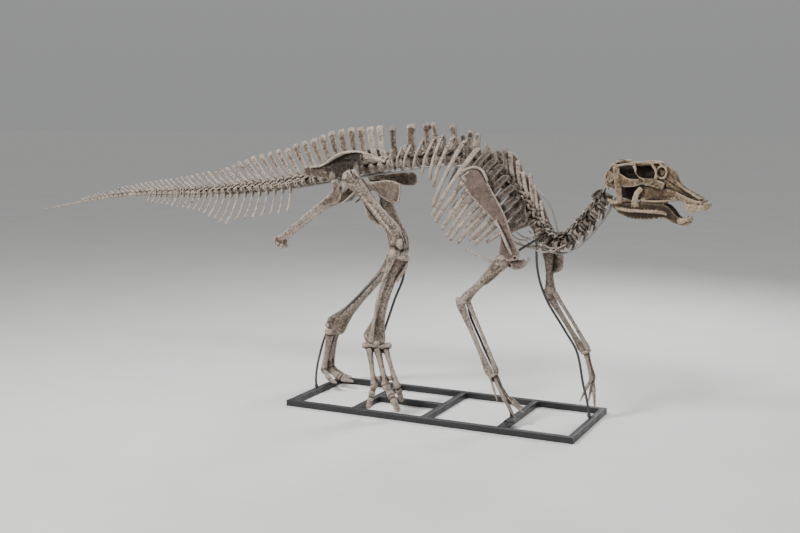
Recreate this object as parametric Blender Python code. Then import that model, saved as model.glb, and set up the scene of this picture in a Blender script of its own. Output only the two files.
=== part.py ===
"""Mounted skeleton of a young duck-billed dinosaur, walking, on a steel base.

Metres, +Z up, +X to the head, +Y to the animal's left.
The origin is on the floor, at the middle of the base's central cross member.
"""
import math

import bmesh
import bpy
from mathutils import Matrix, Vector

# Air between two nodes, and how far a grown copy moves out to keep it at corners
GAP = 0.0003
CORNER_GROWTH = 1.2

# Pieces nearer than this are looked at when a node is cut clear of the ones before it
NEAR = 0.008

# Share of the faces that stays after fusing, by kind of node
KEPT = {"column": 0.49, "chest": 0.5, "neck": 0.52, "thigh": 0.66, "foot": 0.6, "hand": 0.56,
        "skull": 0.6, "jaw": 0.62}

# Base of square tube: rails, cross members, a short lengthwise link and a thin plate
BASE_HALF_LENGTH = 1.0
BASE_HALF_WIDTH = 0.378
TUBE = 0.04
CROSS_REAR_X = -0.5
CROSS_FRONT_X = 0.52
FOOT_PLATE = ((0.505, -0.235), (0.575, -0.125))
FOOT_PLATE_THICK = 0.006

# Rods: the routes of the five bent ones as (x, y, z), feet first, and the rods that
# follow the column, by their start and end and their distance beside and below it
ROD_RADIUS = 0.008
THIN_ROD_RADIUS = 0.0055
ROD_FOOT = TUBE + GAP
ROD_ROUTES = {
    "hind_left": ((-0.985, 0.0, ROD_FOOT), (-1.00, 0.02, 0.12), (-1.045, 0.15, 0.24),
                  (-0.985, 0.165, 0.42), (-0.865, 0.165, 0.56), (-0.70, 0.165, 0.72),
                  (-0.52, 0.16, 0.905), (-0.455, 0.15, 1.02), (-0.505, 0.135, 1.20),
                  (-0.62, 0.06, 1.48)),
    "fore_left": ((0.965, 0.09, ROD_FOOT), (0.935, 0.13, 0.14), (0.895, 0.168, 0.24),
                  (0.850, 0.172, 0.438), (0.765, 0.172, 0.575), (0.64, 0.165, 0.77),
                  (0.600, 0.10, 0.96), (0.62, 0.0, 1.190)),
    "hind_right": ((-0.42, -0.004, ROD_FOOT), (-0.425, -0.06, 0.22), (-0.385, -0.175, 0.44),
                   (-0.300, -0.165, 0.72), (-0.232, -0.140, 0.95), (-0.33, -0.13, 1.20),
                   (-0.59, -0.045, 1.49)),
    "fore_right": ((0.52, -0.11, ROD_FOOT), (0.495, -0.145, 0.14), (0.44, -0.165, 0.30),
                   (0.325, -0.165, 0.52), (0.235, -0.17, 0.76), (0.36, -0.165, 0.92),
                   (0.475, -0.12, 1.06), (0.62, -0.02, 1.170)),
}
FRONT_ROD = ((0.612, 0.0, 1.492), (0.673, 0.0, 1.435), (0.719, 0.0, 1.360), (0.743, 0.0, 1.294),
             (0.758, 0.0, 1.240), (0.784, 0.0, 1.196))
BACK_ROD = (-1.75, 0.34)
BACK_ROD_BENDS = 14
ROD_ASIDE = ((-1.1, 0.020), (-0.8, 0.0))
ROD_BELOW = ((-1.1, 0.70), (-0.8, 1.0))
NECK_ROD = (0.675, 1.082)
NECK_ROD_BENDS = 8
NECK_ROD_ASIDE = 0.018
NECK_ROD_BELOW = ((0.68, 0.042), (0.76, 0.052), (0.87, 0.066), (1.0, 0.060), (1.08, 0.046))

# Course of the vertebral column in the middle plane, tail tip to skull, as (x, z)
COLUMN_LINE = (
    (-3.48, 1.205), (-2.67, 1.344), (-1.91, 1.394), (-1.22, 1.465), (-0.63, 1.581),
    (-0.04, 1.668), (0.17, 1.652), (0.31, 1.588), (0.441, 1.477), (0.516, 1.394), (0.590, 1.290),
    (0.655, 1.206), (0.720, 1.158), (0.795, 1.153), (0.865, 1.203), (0.945, 1.284),
    (1.012, 1.368), (1.062, 1.442), (1.098, 1.520),
)

# Steps to a span of the smooth course, and steps that measure a length along it
COURSE_STEPS = 24
MEASURE_STEPS = 200

# Where each length of the column starts and ends along x, and its count of vertebrae
TAIL_END = (-3.47, -2.72, 13)
TAIL_REAR = (-2.72, -2.10, 11)
TAIL_MIDDLE = (-2.10, -1.56, 9)
TAIL_BASE = (-1.56, -0.99, 9)
SACRUM = (-0.99, -0.40, 9)
CHEST = (-0.40, 0.62, 17)
NECK_LOWER = (0.62, 0.86, 6)
NECK_UPPER = (0.86, 1.082, 6)

# Sizes along the column, as (x, size): half height of a centrum, height of a
# spine's tip above the centrum's middle, its lean back from upright, its half
# width from front to back, the reach of a side process and of a chevron
CENTRUM_HALF = ((-3.48, 0.006), (-2.7, 0.014), (-1.9, 0.022), (-1.2, 0.031), (-0.6, 0.038),
                (0.1, 0.035), (0.6, 0.034), (1.09, 0.027))
SPINE_HEIGHT = ((-3.1, 0.02), (-2.56, 0.066), (-2.02, 0.112), (-1.74, 0.142), (-1.5, 0.225),
                (-1.1, 0.248), (-0.8, 0.285), (-0.4, 0.24), (0.05, 0.217), (0.28, 0.178),
                (0.5, 0.165), (0.62, 0.11))
SPINE_LEAN = ((-3.0, 48.0), (-2.0, 42.0), (-1.3, 32.0), (-0.95, 12.0), (-0.5, 6.0), (0.6, 4.0))
SPINE_HALF_WIDTH = ((-3.0, 0.007), (-2.0, 0.013), (-1.4, 0.019), (-0.8, 0.024), (0.6, 0.022))
SIDE_REACH = ((-1.75, 0.03), (-1.4, 0.055), (-1.0, 0.085))
CHEVRON_DROP = ((-2.45, 0.05), (-2.0, 0.105), (-1.83, 0.142), (-1.62, 0.240), (-1.46, 0.200),
                (-1.1, 0.178))
CHEVRON_LEAN = ((-2.4, 38.0), (-1.85, 33.0), (-1.6, 32.0), (-1.45, 25.0), (-1.27, 20.0),
                (-1.1, 16.0))
CHEVRONS = (-2.4, -1.12)
FIRST_SIDE_PROCESS = -1.75
SACRAL_REACH = 0.122

# Ribs: x of the vertebra against x and z of the tip and the widest half width
RIB_TIP_X = ((-0.37, -0.395), (-0.333, -0.358), (-0.20, -0.249), (-0.037, -0.113), (0.02, -0.060),
             (0.089, -0.036), (0.233, -0.033), (0.296, -0.010), (0.371, 0.064), (0.44, 0.140),
             (0.511, 0.300), (0.60, 0.37))
RIB_TIP_Z = ((-0.37, 1.615), (-0.20, 1.604), (-0.116, 1.600), (-0.037, 1.576), (0.02, 1.539),
             (0.089, 1.490), (0.157, 1.370), (0.233, 1.303), (0.296, 1.258), (0.371, 1.182),
             (0.44, 1.138), (0.511, 1.150), (0.60, 1.16))
RIB_BULGE = ((-0.37, 0.10), (0.0, 0.145), (0.25, 0.172), (0.45, 0.165), (0.60, 0.115))
RIB_HALF_WIDTH = 0.0125
RIB_HALF_THICKNESS = 0.007

# Bone lengths show in the joint places of each limb, as (x, distance from the middle
# plane, z). The right legs are the near ones. Spread is the direction in which the long
# bones of a foot stand side by side and how far, and lag is how far the shin bows back
HIND_JOINTS = {
    "right": {"hip": (-0.615, 0.135, 1.565), "knee": (-0.232, 0.20, 1.075),
              "ankle": (-0.370, 0.27, 0.465), "knuckle": (-0.285, 0.305, 0.200),
              "tips": ((-0.372, 0.385, 0.060), (-0.158, 0.375, 0.060), (-0.198, 0.245, 0.090)),
              "spread": ((-0.90, 0.42), 1.45), "toe_sag": 0.0, "shin_lag": 0.028,
              "shin_side": (-0.055, 0.03)},
    "left": {"hip": (-0.615, 0.135, 1.565), "knee": (-0.420, 0.185, 1.000),
             "ankle": (-0.960, 0.20, 0.430), "knuckle": (-1.015, 0.21, 0.130),
             "tips": ((-0.870, 0.31, 0.060), (-0.800, 0.20, 0.060), (-0.890, 0.11, 0.060)),
             "spread": ((0.0, 1.0), 1.1), "toe_sag": -0.020, "shin_lag": 0.0,
             "shin_side": (-0.04, 0.04)},
}
FORE_JOINTS = {
    "right": {"shoulder": (0.486, 0.200, 1.068), "elbow": (0.214, 0.205, 0.785), "crest": 0.016,
              "wrist": (0.420, 0.200, 0.330), "knuckle": (0.505, 0.195, 0.180),
              "tips": ((0.556, 0.175, 0.062), (0.603, 0.135, 0.085), (0.585, 0.09, 0.10))},
    "left": {"shoulder": (0.640, 0.190, 1.120), "elbow": (0.652, 0.205, 0.815), "crest": 0.070,
             "wrist": (0.898, 0.205, 0.445), "knuckle": (0.950, 0.200, 0.270),
             "tips": ((0.915, 0.235, 0.110), (0.970, 0.195, 0.082), (0.880, 0.16, 0.120))},
}

# Long bones from joint to joint: share of the length, half size across, half size from
# front to back, and a shift to the front where there is one
FEMUR = ((-0.02, 0.026, 0.050), (0.05, 0.034, 0.062), (0.14, 0.036, 0.056),
         (0.30, 0.034, 0.044, 0.016), (0.55, 0.035, 0.043, 0.028), (0.76, 0.040, 0.050, 0.038),
         (0.86, 0.050, 0.062, 0.034), (0.955, 0.050, 0.064, 0.010))
HUMERUS = ((-0.01, 0.026, 0.036), (0.05, 0.036, 0.050), (0.16, 0.034, 0.046),
           (0.34, 0.027, 0.036), (0.62, 0.025, 0.027), (0.84, 0.032, 0.029),
           (0.94, 0.038, 0.031), (0.985, 0.034, 0.026))
ULNA = ((0.0, 0.014, 0.016), (0.06, 0.022, 0.028), (0.16, 0.021, 0.028), (0.45, 0.016, 0.020),
        (0.8, 0.017, 0.021), (0.94, 0.022, 0.026), (0.985, 0.020, 0.022))
RADIUS = ((0.0, 0.019, 0.018), (0.08, 0.018, 0.016), (0.4, 0.012, 0.012), (0.8, 0.014, 0.013),
          (0.93, 0.019, 0.018), (0.985, 0.018, 0.017))

# Hip blade: x, highest z, lowest z, distance out, half thickness
ILIUM = (
    (-0.368, 1.656, 1.640, 0.150, 0.006), (-0.450, 1.686, 1.654, 0.138, 0.010),
    (-0.545, 1.712, 1.658, 0.128, 0.013), (-0.590, 1.714, 1.600, 0.126, 0.018),
    (-0.625, 1.712, 1.585, 0.126, 0.020), (-0.690, 1.706, 1.580, 0.126, 0.018),
    (-0.745, 1.684, 1.535, 0.126, 0.021), (-0.800, 1.650, 1.520, 0.126, 0.018),
    (-0.870, 1.616, 1.528, 0.128, 0.011), (-0.940, 1.608, 1.532, 0.134, 0.009),
    (-0.990, 1.604, 1.560, 0.142, 0.006),
)

# Shoulder blade: axis as (x, z), half widths and the distance from the middle plane
BLADE_AXIS = ((0.222, 1.598), (0.272, 1.527), (0.335, 1.452), (0.397, 1.382), (0.452, 1.310),
              (0.483, 1.246), (0.499, 1.177), (0.510, 1.115), (0.520, 1.062))
BLADE_HALVES = (0.066, 0.078, 0.067, 0.054, 0.042, 0.036, 0.046, 0.068, 0.060)
BLADE_OUT = (0.150, 0.164, 0.180, 0.188, 0.194, 0.197, 0.198, 0.200, 0.197)
BLADE_THICK = (0.009, 0.009, 0.009, 0.009, 0.009, 0.010, 0.015, 0.019, 0.023)
LEFT_BLADE_SHIFT = (0.098, 0.085)

# Front plate of the pelvis: line as (x, distance out, z) and half sizes; the near one sags
PUBIS_LINE = {
    "right": ((-0.585, 0.130, 1.522), (-0.520, 0.138, 1.500), (-0.440, 0.150, 1.484),
              (-0.360, 0.160, 1.468), (-0.292, 0.168, 1.450), (-0.256, 0.170, 1.447)),
    "left": ((-0.585, 0.130, 1.530), (-0.520, 0.138, 1.524), (-0.440, 0.150, 1.520),
             (-0.380, 0.160, 1.518), (-0.325, 0.168, 1.519), (-0.292, 0.170, 1.522)),
}
PUBIS_HALVES = {
    "right": ((0.020, 0.024), (0.014, 0.020), (0.010, 0.034), (0.009, 0.058), (0.008, 0.068),
              (0.006, 0.054)),
    "left": ((0.020, 0.024), (0.014, 0.020), (0.010, 0.030), (0.009, 0.044), (0.008, 0.048),
             (0.006, 0.036)),
}

# Head: turned a little to the right about the top of the neck
HEAD_PIVOT = Vector((1.085, 0.0, 1.53))
HEAD_TURN = math.radians(-6.0)
HEAD_STRETCH = 1.025
SKULL_STATIONS = (
    # x, lowest z, highest z, half width
    (1.072, 1.545, 1.610, 0.045), (1.110, 1.535, 1.665, 0.078), (1.160, 1.550, 1.683, 0.090),
    (1.230, 1.560, 1.673, 0.084), (1.310, 1.545, 1.673, 0.079), (1.370, 1.505, 1.677, 0.062),
    (1.415, 1.465, 1.655, 0.050), (1.460, 1.450, 1.590, 0.043), (1.515, 1.440, 1.532, 0.037),
    (1.565, 1.425, 1.504, 0.044), (1.610, 1.400, 1.484, 0.060), (1.645, 1.395, 1.464, 0.064),
    (1.664, 1.408, 1.440, 0.048),
)

BONE = (0.56, 0.50, 0.42)
BONE_WARM = (0.52, 0.44, 0.34)
BLACK_STEEL = (0.02, 0.02, 0.022)

taken = []


def at(table, x):
    """Read a size from a table of (place, size) pairs."""
    if x <= table[0][0]:
        return table[0][1]
    for (x0, v0), (x1, v1) in zip(table, table[1:]):
        if x <= x1:
            return v0 + (v1 - v0) * (x - x0) / (x1 - x0)
    return table[-1][1]


def smooth_line(points, steps):
    """Points on a smooth curve through the given ones, with steps to each span."""
    pts = [Vector(p) for p in points]
    pts = [2 * pts[0] - pts[1]] + pts + [2 * pts[-1] - pts[-2]]
    line = []
    for i in range(1, len(pts) - 2):
        for k in range(steps):
            t = k / steps
            a = pts[i - 1] * (-0.5 * t + t * t - 0.5 * t ** 3)
            b = pts[i] * (1 - 2.5 * t * t + 1.5 * t ** 3)
            c = pts[i + 1] * (0.5 * t + 2 * t * t - 1.5 * t ** 3)
            d = pts[i + 2] * (-0.5 * t * t + 0.5 * t ** 3)
            line.append(a + b + c + d)
    line.append(pts[-2])
    return line


COLUMN = smooth_line([(x, 0.0, z) for x, z in COLUMN_LINE], COURSE_STEPS)


def column_at(x):
    """Middle, direction and upward normal of the column where it passes x."""
    for p, q in zip(COLUMN, COLUMN[1:]):
        if x <= q.x:
            break
    t = (x - p.x) / (q.x - p.x)
    along = (q - p).normalized()
    return p.lerp(q, t), along, Vector((-along.z, 0.0, along.x))


def joints_between(start, end, count):
    """The x places that part a stretch of column into equal vertebrae."""
    inner = [start + (end - start) * k / MEASURE_STEPS for k in range(MEASURE_STEPS + 1)]
    lengths = [0.0]
    for a, b in zip(inner, inner[1:]):
        lengths.append(lengths[-1] + (column_at(b)[0] - column_at(a)[0]).length)
    places = [start]
    for k in range(1, count):
        goal = lengths[-1] * k / count
        i = next(j for j, s in enumerate(lengths) if s >= goal)
        places.append(inner[i])
    return places + [end]


def loft(points, halves, sides=6, across=(0.0, 1.0, 0.0)):
    """A closed tapering bar; halves are (across, other way) at each point."""
    points = [Vector(p) for p in points]
    reach = 1.0 / math.cos(math.pi / sides) if sides > 4 else 1.25

    def make(grow):
        bm = bmesh.new()
        rings = []
        last = len(points) - 1
        for i, p in enumerate(points):
            along = (points[min(i + 1, last)] - points[max(i - 1, 0)]).normalized()
            a = Vector(across)
            a = (a - along * a.dot(along)).normalized()
            b = along.cross(a)
            centre = p + along * (grow * ((i == last) - (i == 0)))
            ring = []
            for k in range(sides):
                turn = 2 * math.pi * (k + 0.5) / sides
                out = a * math.cos(turn) * (halves[i][0] * reach + grow * CORNER_GROWTH)
                out += b * math.sin(turn) * (halves[i][1] * reach + grow * CORNER_GROWTH)
                ring.append(bm.verts.new(centre + out))
            rings.append(ring)
        for lower, upper in zip(rings, rings[1:]):
            for k in range(sides):
                n = (k + 1) % sides
                bm.faces.new((lower[k], lower[n], upper[n], upper[k]))
        bm.faces.new(list(reversed(rings[0])))
        bm.faces.new(rings[-1])
        return bm
    return make


def ball(centre, halves, detail=2, turn=None):
    """A round lump with three half sizes, turned by an optional rotation."""
    def make(grow):
        bm = bmesh.new()
        size = Matrix.Diagonal([h + grow * CORNER_GROWTH for h in halves] + [1.0])
        place = Matrix.Translation(Vector(centre)) @ (turn.to_4x4() if turn else Matrix())
        bmesh.ops.create_icosphere(bm, subdivisions=detail, radius=1.0, matrix=place @ size)
        return bm
    return make


def block(low, high):
    """A box between two corners."""
    def make(grow):
        bm = bmesh.new()
        low_corner = Vector(low) - Vector((grow, grow, grow))
        high_corner = Vector(high) + Vector((grow, grow, grow))
        size = Matrix.Diagonal([*(high_corner - low_corner), 1.0])
        middle = Matrix.Translation((low_corner + high_corner) / 2)
        bmesh.ops.create_cube(bm, size=1.0, matrix=middle @ size)
        return bm
    return make


def place_mesh(name, bm):
    """Put a bmesh into the scene as an object."""
    bmesh.ops.recalc_face_normals(bm, faces=bm.faces)
    bmesh.ops.triangulate(bm, faces=bm.faces)
    mesh = bpy.data.meshes.new(name)
    bm.to_mesh(mesh)
    bm.free()
    obj = bpy.data.objects.new(name, mesh)
    bpy.context.scene.collection.objects.link(obj)
    return obj


def copy_of(name, grow):
    """A copy of a finished node, moved out by grow along its normals."""
    bm = bmesh.new()
    bm.from_mesh(bpy.data.objects[name].data)
    bm.normal_update()
    moves = [v.normal * grow * min(v.calc_shell_factor(), 2.0) for v in bm.verts]
    for vert, move in zip(bm.verts, moves):
        vert.co += move
    return place_mesh(name + "_cut", bm)


def bounds(obj):
    """Lowest and highest corners of an object's mesh."""
    co = [v.co for v in obj.data.vertices]
    low = [min(c[i] for c in co) for i in range(3)]
    high = [max(c[i] for c in co) for i in range(3)]
    return low, high


def boxes_meet(a, b, near=NEAR):
    """True where two boxes overlap or are near each other."""
    return all(a[0][i] <= b[1][i] + near and b[0][i] <= a[1][i] + near for i in range(3))


def combine(obj, others, operation):
    """Apply one Boolean with a collection of closed meshes, then remove them."""
    if not others:
        return
    group = bpy.data.collections.new(obj.name + "_pieces")
    bpy.context.scene.collection.children.link(group)
    for other in others:
        bpy.context.scene.collection.objects.unlink(other)
        group.objects.link(other)
    boolean = obj.modifiers.new("combine", "BOOLEAN")
    boolean.operation = operation
    boolean.operand_type = "COLLECTION"
    boolean.collection = group
    boolean.solver = "EXACT"
    graph = bpy.context.evaluated_depsgraph_get()
    graph.update()
    mesh = bpy.data.meshes.new_from_object(obj.evaluated_get(graph))
    obj.modifiers.clear()
    obj.data = mesh
    for other in others:
        bpy.data.objects.remove(other)
    bpy.data.collections.remove(group)


def keep_largest(obj):
    """Keep the largest closed surface of a mesh, which is its outer skin."""
    bm = bmesh.new()
    bm.from_mesh(obj.data)
    bmesh.ops.remove_doubles(bm, verts=bm.verts, dist=0.000001)
    bmesh.ops.triangulate(bm, faces=bm.faces)
    left = set(bm.faces)
    best, best_volume = set(), 0.0
    while left:
        seed = left.pop()
        shell, front = {seed}, [seed]
        while front:
            face = front.pop()
            for edge in face.edges:
                for other in edge.link_faces:
                    if other in left:
                        left.discard(other)
                        shell.add(other)
                        front.append(other)
        volume = sum(f.verts[0].co.dot(f.verts[1].co.cross(f.verts[2].co)) for f in shell) / 6
        if abs(volume) > best_volume:
            best, best_volume = shell, abs(volume)
    bmesh.ops.delete(bm, geom=[f for f in bm.faces if f not in best], context="FACES")
    bm.to_mesh(obj.data)
    bm.free()


def thin_out(obj, share):
    """Merge the short edges that fusing leaves, down to a share of the faces."""
    decimate = obj.modifiers.new("thin", "DECIMATE")
    decimate.ratio = share
    graph = bpy.context.evaluated_depsgraph_get()
    graph.update()
    mesh = bpy.data.meshes.new_from_object(obj.evaluated_get(graph))
    obj.modifiers.clear()
    obj.data = mesh


def finish(obj, colour, roughness, metallic):
    """Give a piece its own material."""
    material = bpy.data.materials.new(obj.name)
    material.use_nodes = True
    shader = material.node_tree.nodes["Principled BSDF"]
    shader.inputs["Base Color"].default_value = (*colour, 1.0)
    shader.inputs["Roughness"].default_value = roughness
    shader.inputs["Metallic"].default_value = metallic
    obj.data.materials.clear()
    obj.data.materials.append(material)


def solid(name, pieces, cuts=(), apart_from=(), keep=1.0, colour=BONE, roughness=0.8,
          metallic=0.0):
    """Fuse pieces into one node, cut clear of every node that was made before it."""
    parts = [place_mesh(name + "_piece", piece(0.0)) for piece in pieces]
    boxes = [bounds(p) for p in parts]
    obj = parts[0]
    obj.name = name
    combine(obj, parts[1:], "UNION")
    if keep < 1.0:
        keep_largest(obj)
        thin_out(obj, keep)
    near = [(other, piece, thinned) for other, piece, box, thinned in taken
            if other not in apart_from and any(boxes_meet(box, b) for b in boxes)]
    cutters = [place_mesh(name + "_cut", piece(GAP)) for _, piece, thinned in near if not thinned]
    for other in sorted({other for other, _, thinned in near if thinned}):
        cutters += [copy_of(other, 0.0), copy_of(other, GAP)]
    cutters += [place_mesh(name + "_cut", piece(0.0)) for piece in cuts]
    combine(obj, cutters, "DIFFERENCE")
    keep_largest(obj)
    for piece in pieces:
        grown = place_mesh("grown", piece(GAP))
        taken.append((name, piece, bounds(grown), keep < 1.0))
        bpy.data.objects.remove(grown)
    finish(obj, colour, roughness, metallic)
    return obj


def steel(name, piece):
    """A node of black painted steel."""
    return solid(name, [piece], colour=BLACK_STEEL, roughness=0.45, metallic=0.3)


def rod(points, radius, sides=8):
    """A round rod along a route."""
    return loft(points, [(radius, radius)] * len(points), sides)


def side_of(side):
    """The sign of y for a side of the body."""
    return -1.0 if side == "right" else 1.0


def placed(side, point):
    """A joint's place on its own side of the body."""
    return Vector((point[0], side_of(side) * point[1], point[2]))


def build_base():
    """Rails, cross members and the link of the base, butted end to end."""
    length, width, t = BASE_HALF_LENGTH, BASE_HALF_WIDTH, TUBE
    steel("stand_rail_right", block((-length, -width, 0.0), (length, -width + t, t)))
    steel("stand_rail_left", block((-length, width - t, 0.0), (length, width, t)))
    inner = width - t - GAP
    for name, x in (("stand_end_rear", -length + t / 2), ("stand_cross_rear", CROSS_REAR_X),
                    ("stand_cross_middle", 0.0), ("stand_cross_front", CROSS_FRONT_X),
                    ("stand_end_front", length - t / 2)):
        steel(name, block((x - t / 2, -inner, 0.0), (x + t / 2, inner, t)))
    link = (CROSS_REAR_X + t / 2 + GAP, -t / 2, 0.0), (-t / 2 - GAP, t / 2, t)
    steel("stand_link", block(*link))
    low, high = FOOT_PLATE
    steel("stand_foot_plate", block((*low, ROD_FOOT), (*high, ROD_FOOT + FOOT_PLATE_THICK)))


def rod_below(reach, bends, place):
    """Points along the column from one x to another, each set off by a rule."""
    start, end = reach
    points = []
    for k in range(bends):
        x = start + (end - start) * k / (bends - 1)
        middle, _, up = column_at(x)
        beside, below = place(x)
        points.append(middle + Vector((0.0, beside, 0.0)) - up * below)
    return points


def build_rods():
    """The rods that carry the legs, the back and the neck."""
    for name in ("hind_left", "fore_left", "hind_right", "fore_right"):
        steel("stand_rod_" + name, rod(ROD_ROUTES[name], ROD_RADIUS))
    under = rod_below(BACK_ROD, BACK_ROD_BENDS, lambda x: (
        at(ROD_ASIDE, x), at(CENTRUM_HALF, x) * at(ROD_BELOW, x) + ROD_RADIUS + 0.001))
    steel("stand_rod_back", rod(under, ROD_RADIUS, sides=6))
    steel("stand_rod_front", rod(FRONT_ROD, THIN_ROD_RADIUS, sides=5))
    for side in ("right", "left"):
        route = rod_below(NECK_ROD, NECK_ROD_BENDS, lambda x: (
            side_of(side) * NECK_ROD_ASIDE, at(NECK_ROD_BELOW, x)))
        steel("stand_rod_neck_" + side, rod(route, THIN_ROD_RADIUS, sides=5))


def centra(start, end, count, sides):
    """The row of spool shaped bodies of one length of the column."""
    places = joints_between(start, end, count)
    points, halves = [], []
    for i, (a, b) in enumerate(zip(places, places[1:])):
        half = at(CENTRUM_HALF, a)
        waist_x = (a + b) / 2
        points.append(column_at(a)[0])
        halves.append((half, half))
        points.append(column_at(waist_x)[0])
        halves.append((half * 0.76, half * 0.80))
    points.append(column_at(end)[0])
    halves.append((at(CENTRUM_HALF, end),) * 2)
    first, last = column_at(start)[1], column_at(end)[1]
    points[0] = points[0] + first * (GAP / 2)
    points[-1] = points[-1] - last * (GAP / 2)
    return places, loft(points, halves, sides)


def spine(x, pitch, narrow=1.0):
    """The upright plate on top of one vertebra, leaning back."""
    middle, along, up = column_at(x)
    height = at(SPINE_HEIGHT, x) * narrow
    lean = math.tan(math.radians(at(SPINE_LEAN, x)))
    half = at(SPINE_HALF_WIDTH, x)
    centrum = at(CENTRUM_HALF, x)
    foot = min(0.40 * pitch, half * 1.25)
    stations = ((centrum * 0.4, foot, centrum * 0.42), (centrum * 1.6, foot * 0.92, 0.010),
                (height, half, 0.0062))
    points, halves = [], []
    for rise, fore, side in stations:
        back = -along * max(rise - centrum, 0.0) * lean
        points.append(middle + up * rise + back)
        halves.append((side, fore))
    return loft(points, halves, 4)


def side_process(x, sign, reach, rise, half=0.012):
    """One bar that stands out from a vertebra's arch to the side."""
    middle, along, up = column_at(x)
    root = middle + up * (at(CENTRUM_HALF, x) * 0.75) + Vector((0.0, sign * 0.006, 0.0))
    tip = middle + up * (at(CENTRUM_HALF, x) * 0.9 + rise) - along * 0.010
    tip = tip + Vector((0.0, sign * reach, 0.0))
    return loft([root, tip], [(half * 1.3, half * 0.62), (half, half * 0.5)], 4, along)


def chevron(x):
    """The blade that hangs below the joint of two tail vertebrae."""
    middle, along, up = column_at(x)
    drop = at(CHEVRON_DROP, x)
    half = at(SPINE_HALF_WIDTH, x) * 0.62
    centrum = at(CENTRUM_HALF, x)
    lean = math.tan(math.radians(at(CHEVRON_LEAN, x)))
    root = middle - up * centrum * 0.5
    elbow = middle - up * (centrum + 0.22 * drop) - along * (0.12 * drop * lean)
    tip = middle - up * drop - along * (drop * lean * 0.85)
    return loft([root, elbow, tip], [(0.010, half), (0.006, half * 0.9), (0.005, half)], 4)


def build_tail():
    """The tail in four lengths, with spines, side processes and chevrons."""
    for name, stretch, sides in (("tail_end", TAIL_END, 5), ("tail_rear", TAIL_REAR, 6),
                                 ("tail_middle", TAIL_MIDDLE, 6), ("tail_base", TAIL_BASE, 7)):
        start, end, count = stretch
        places, row = centra(start, end, count, sides)
        pieces = [row]
        for a, b in zip(places, places[1:]):
            x = (a + b) / 2
            if x > TAIL_END[1]:
                pieces.append(spine(x, b - a))
            if x > FIRST_SIDE_PROCESS:
                pieces += [side_process(x, s, at(SIDE_REACH, x), -0.012, 0.011) for s in (-1, 1)]
            if CHEVRONS[0] < x < CHEVRONS[1]:
                pieces.append(chevron(a + 0.006))
        solid(name, pieces, keep=KEPT["column"])


def build_sacrum():
    """The vertebrae between the hip bones, whose side bars meet the hip bones."""
    start, end, count = SACRUM
    places, row = centra(start, end, count, 7)
    pieces = [row]
    for a, b in zip(places, places[1:]):
        x = (a + b) / 2
        pieces.append(spine(x, b - a))
        rise = -0.004 if x < -0.7 else 0.02
        pieces += [side_process(x, s, SACRAL_REACH, rise, 0.016) for s in (-1, 1)]
    solid("sacrum", pieces, keep=KEPT["column"])


def rib(x, sign):
    """One rib from the side of its vertebra, out and down to its free tip."""
    middle, along, up = column_at(x)
    tip_x, tip_z = at(RIB_TIP_X, x), at(RIB_TIP_Z, x)
    bulge = at(RIB_BULGE, x)
    root = middle + up * 0.030 + Vector((0.0, sign * 0.008, 0.0))
    knee = middle + up * 0.078 - along * 0.010 + Vector((0.0, sign * 0.080, 0.0))
    tip = Vector((tip_x, sign * bulge * 0.82, tip_z))
    shoulder = knee.lerp(tip, 0.12) + Vector((0.0, sign * 0.026, 0.0))
    belly = knee.lerp(tip, 0.45)
    belly.y = sign * bulge
    lower = knee.lerp(tip, 0.78)
    lower.y = sign * bulge * 0.985
    wide, thin = RIB_HALF_WIDTH, RIB_HALF_THICKNESS
    halves = [(wide * 1.5, thin * 1.5), (wide * 1.15, thin * 1.2), (wide, thin * 1.1),
              (wide * 1.1, thin), (wide * 1.2, thin), (wide, thin * 0.6)]
    return loft([root, knee, shoulder, belly, lower, tip], halves, 4, along + up * 0.35)


def build_chest():
    """The trunk in its two sides, parted by a thin cut down the middle."""
    start, end, count = CHEST
    for side in ("right", "left"):
        sign = side_of(side)
        places, row = centra(start, end, count, 8)
        pieces = [row]
        for i, (a, b) in enumerate(zip(places, places[1:])):
            x = (a + b) / 2
            pieces.append(spine(x, b - a, 0.94 + 0.06 * math.cos(2.4 * i)))
            pieces.append(rib(x, sign))
        middle = sign * GAP / 2
        away = block((-2.0, min(middle, -sign), 0.0), (2.0, max(middle, -sign), 3.0))
        solid("chest_" + side, pieces, cuts=[away], apart_from=("chest_right",),
              keep=KEPT["chest"])


def build_neck():
    """The neck in two lengths of ring like vertebrae with small ribs."""
    for name, stretch in (("neck_lower", NECK_LOWER), ("neck_upper", NECK_UPPER)):
        start, end, count = stretch
        places, row = centra(start, end, count, 7)
        pieces = [row]
        for a, b in zip(places, places[1:]):
            x = (a + b) / 2
            middle, along, up = column_at(x)
            out = Vector((0.0, 0.046, 0.0))
            arch = middle + up * 0.032
            pieces.append(loft([arch - out, arch, arch + out],
                               [(0.013, 0.010), (0.018, 0.022), (0.013, 0.010)], 4, along))
            below = at(NECK_ROD_BELOW, x)
            for sign in (-1, 1):
                low = middle - up * 0.010 + Vector((0.0, sign * 0.020, 0.0))
                bend = middle - up * (below * 0.6) + Vector((0.0, sign * 0.034, 0.0))
                tip = middle - up * (below + 0.004) - along * 0.020
                tip = tip + Vector((0.0, sign * 0.024, 0.0))
                pieces.append(loft([low, bend, tip],
                                   [(0.011, 0.007), (0.009, 0.006), (0.006, 0.006)], 4, along))
        solid(name, pieces, keep=KEPT["neck"])


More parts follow.
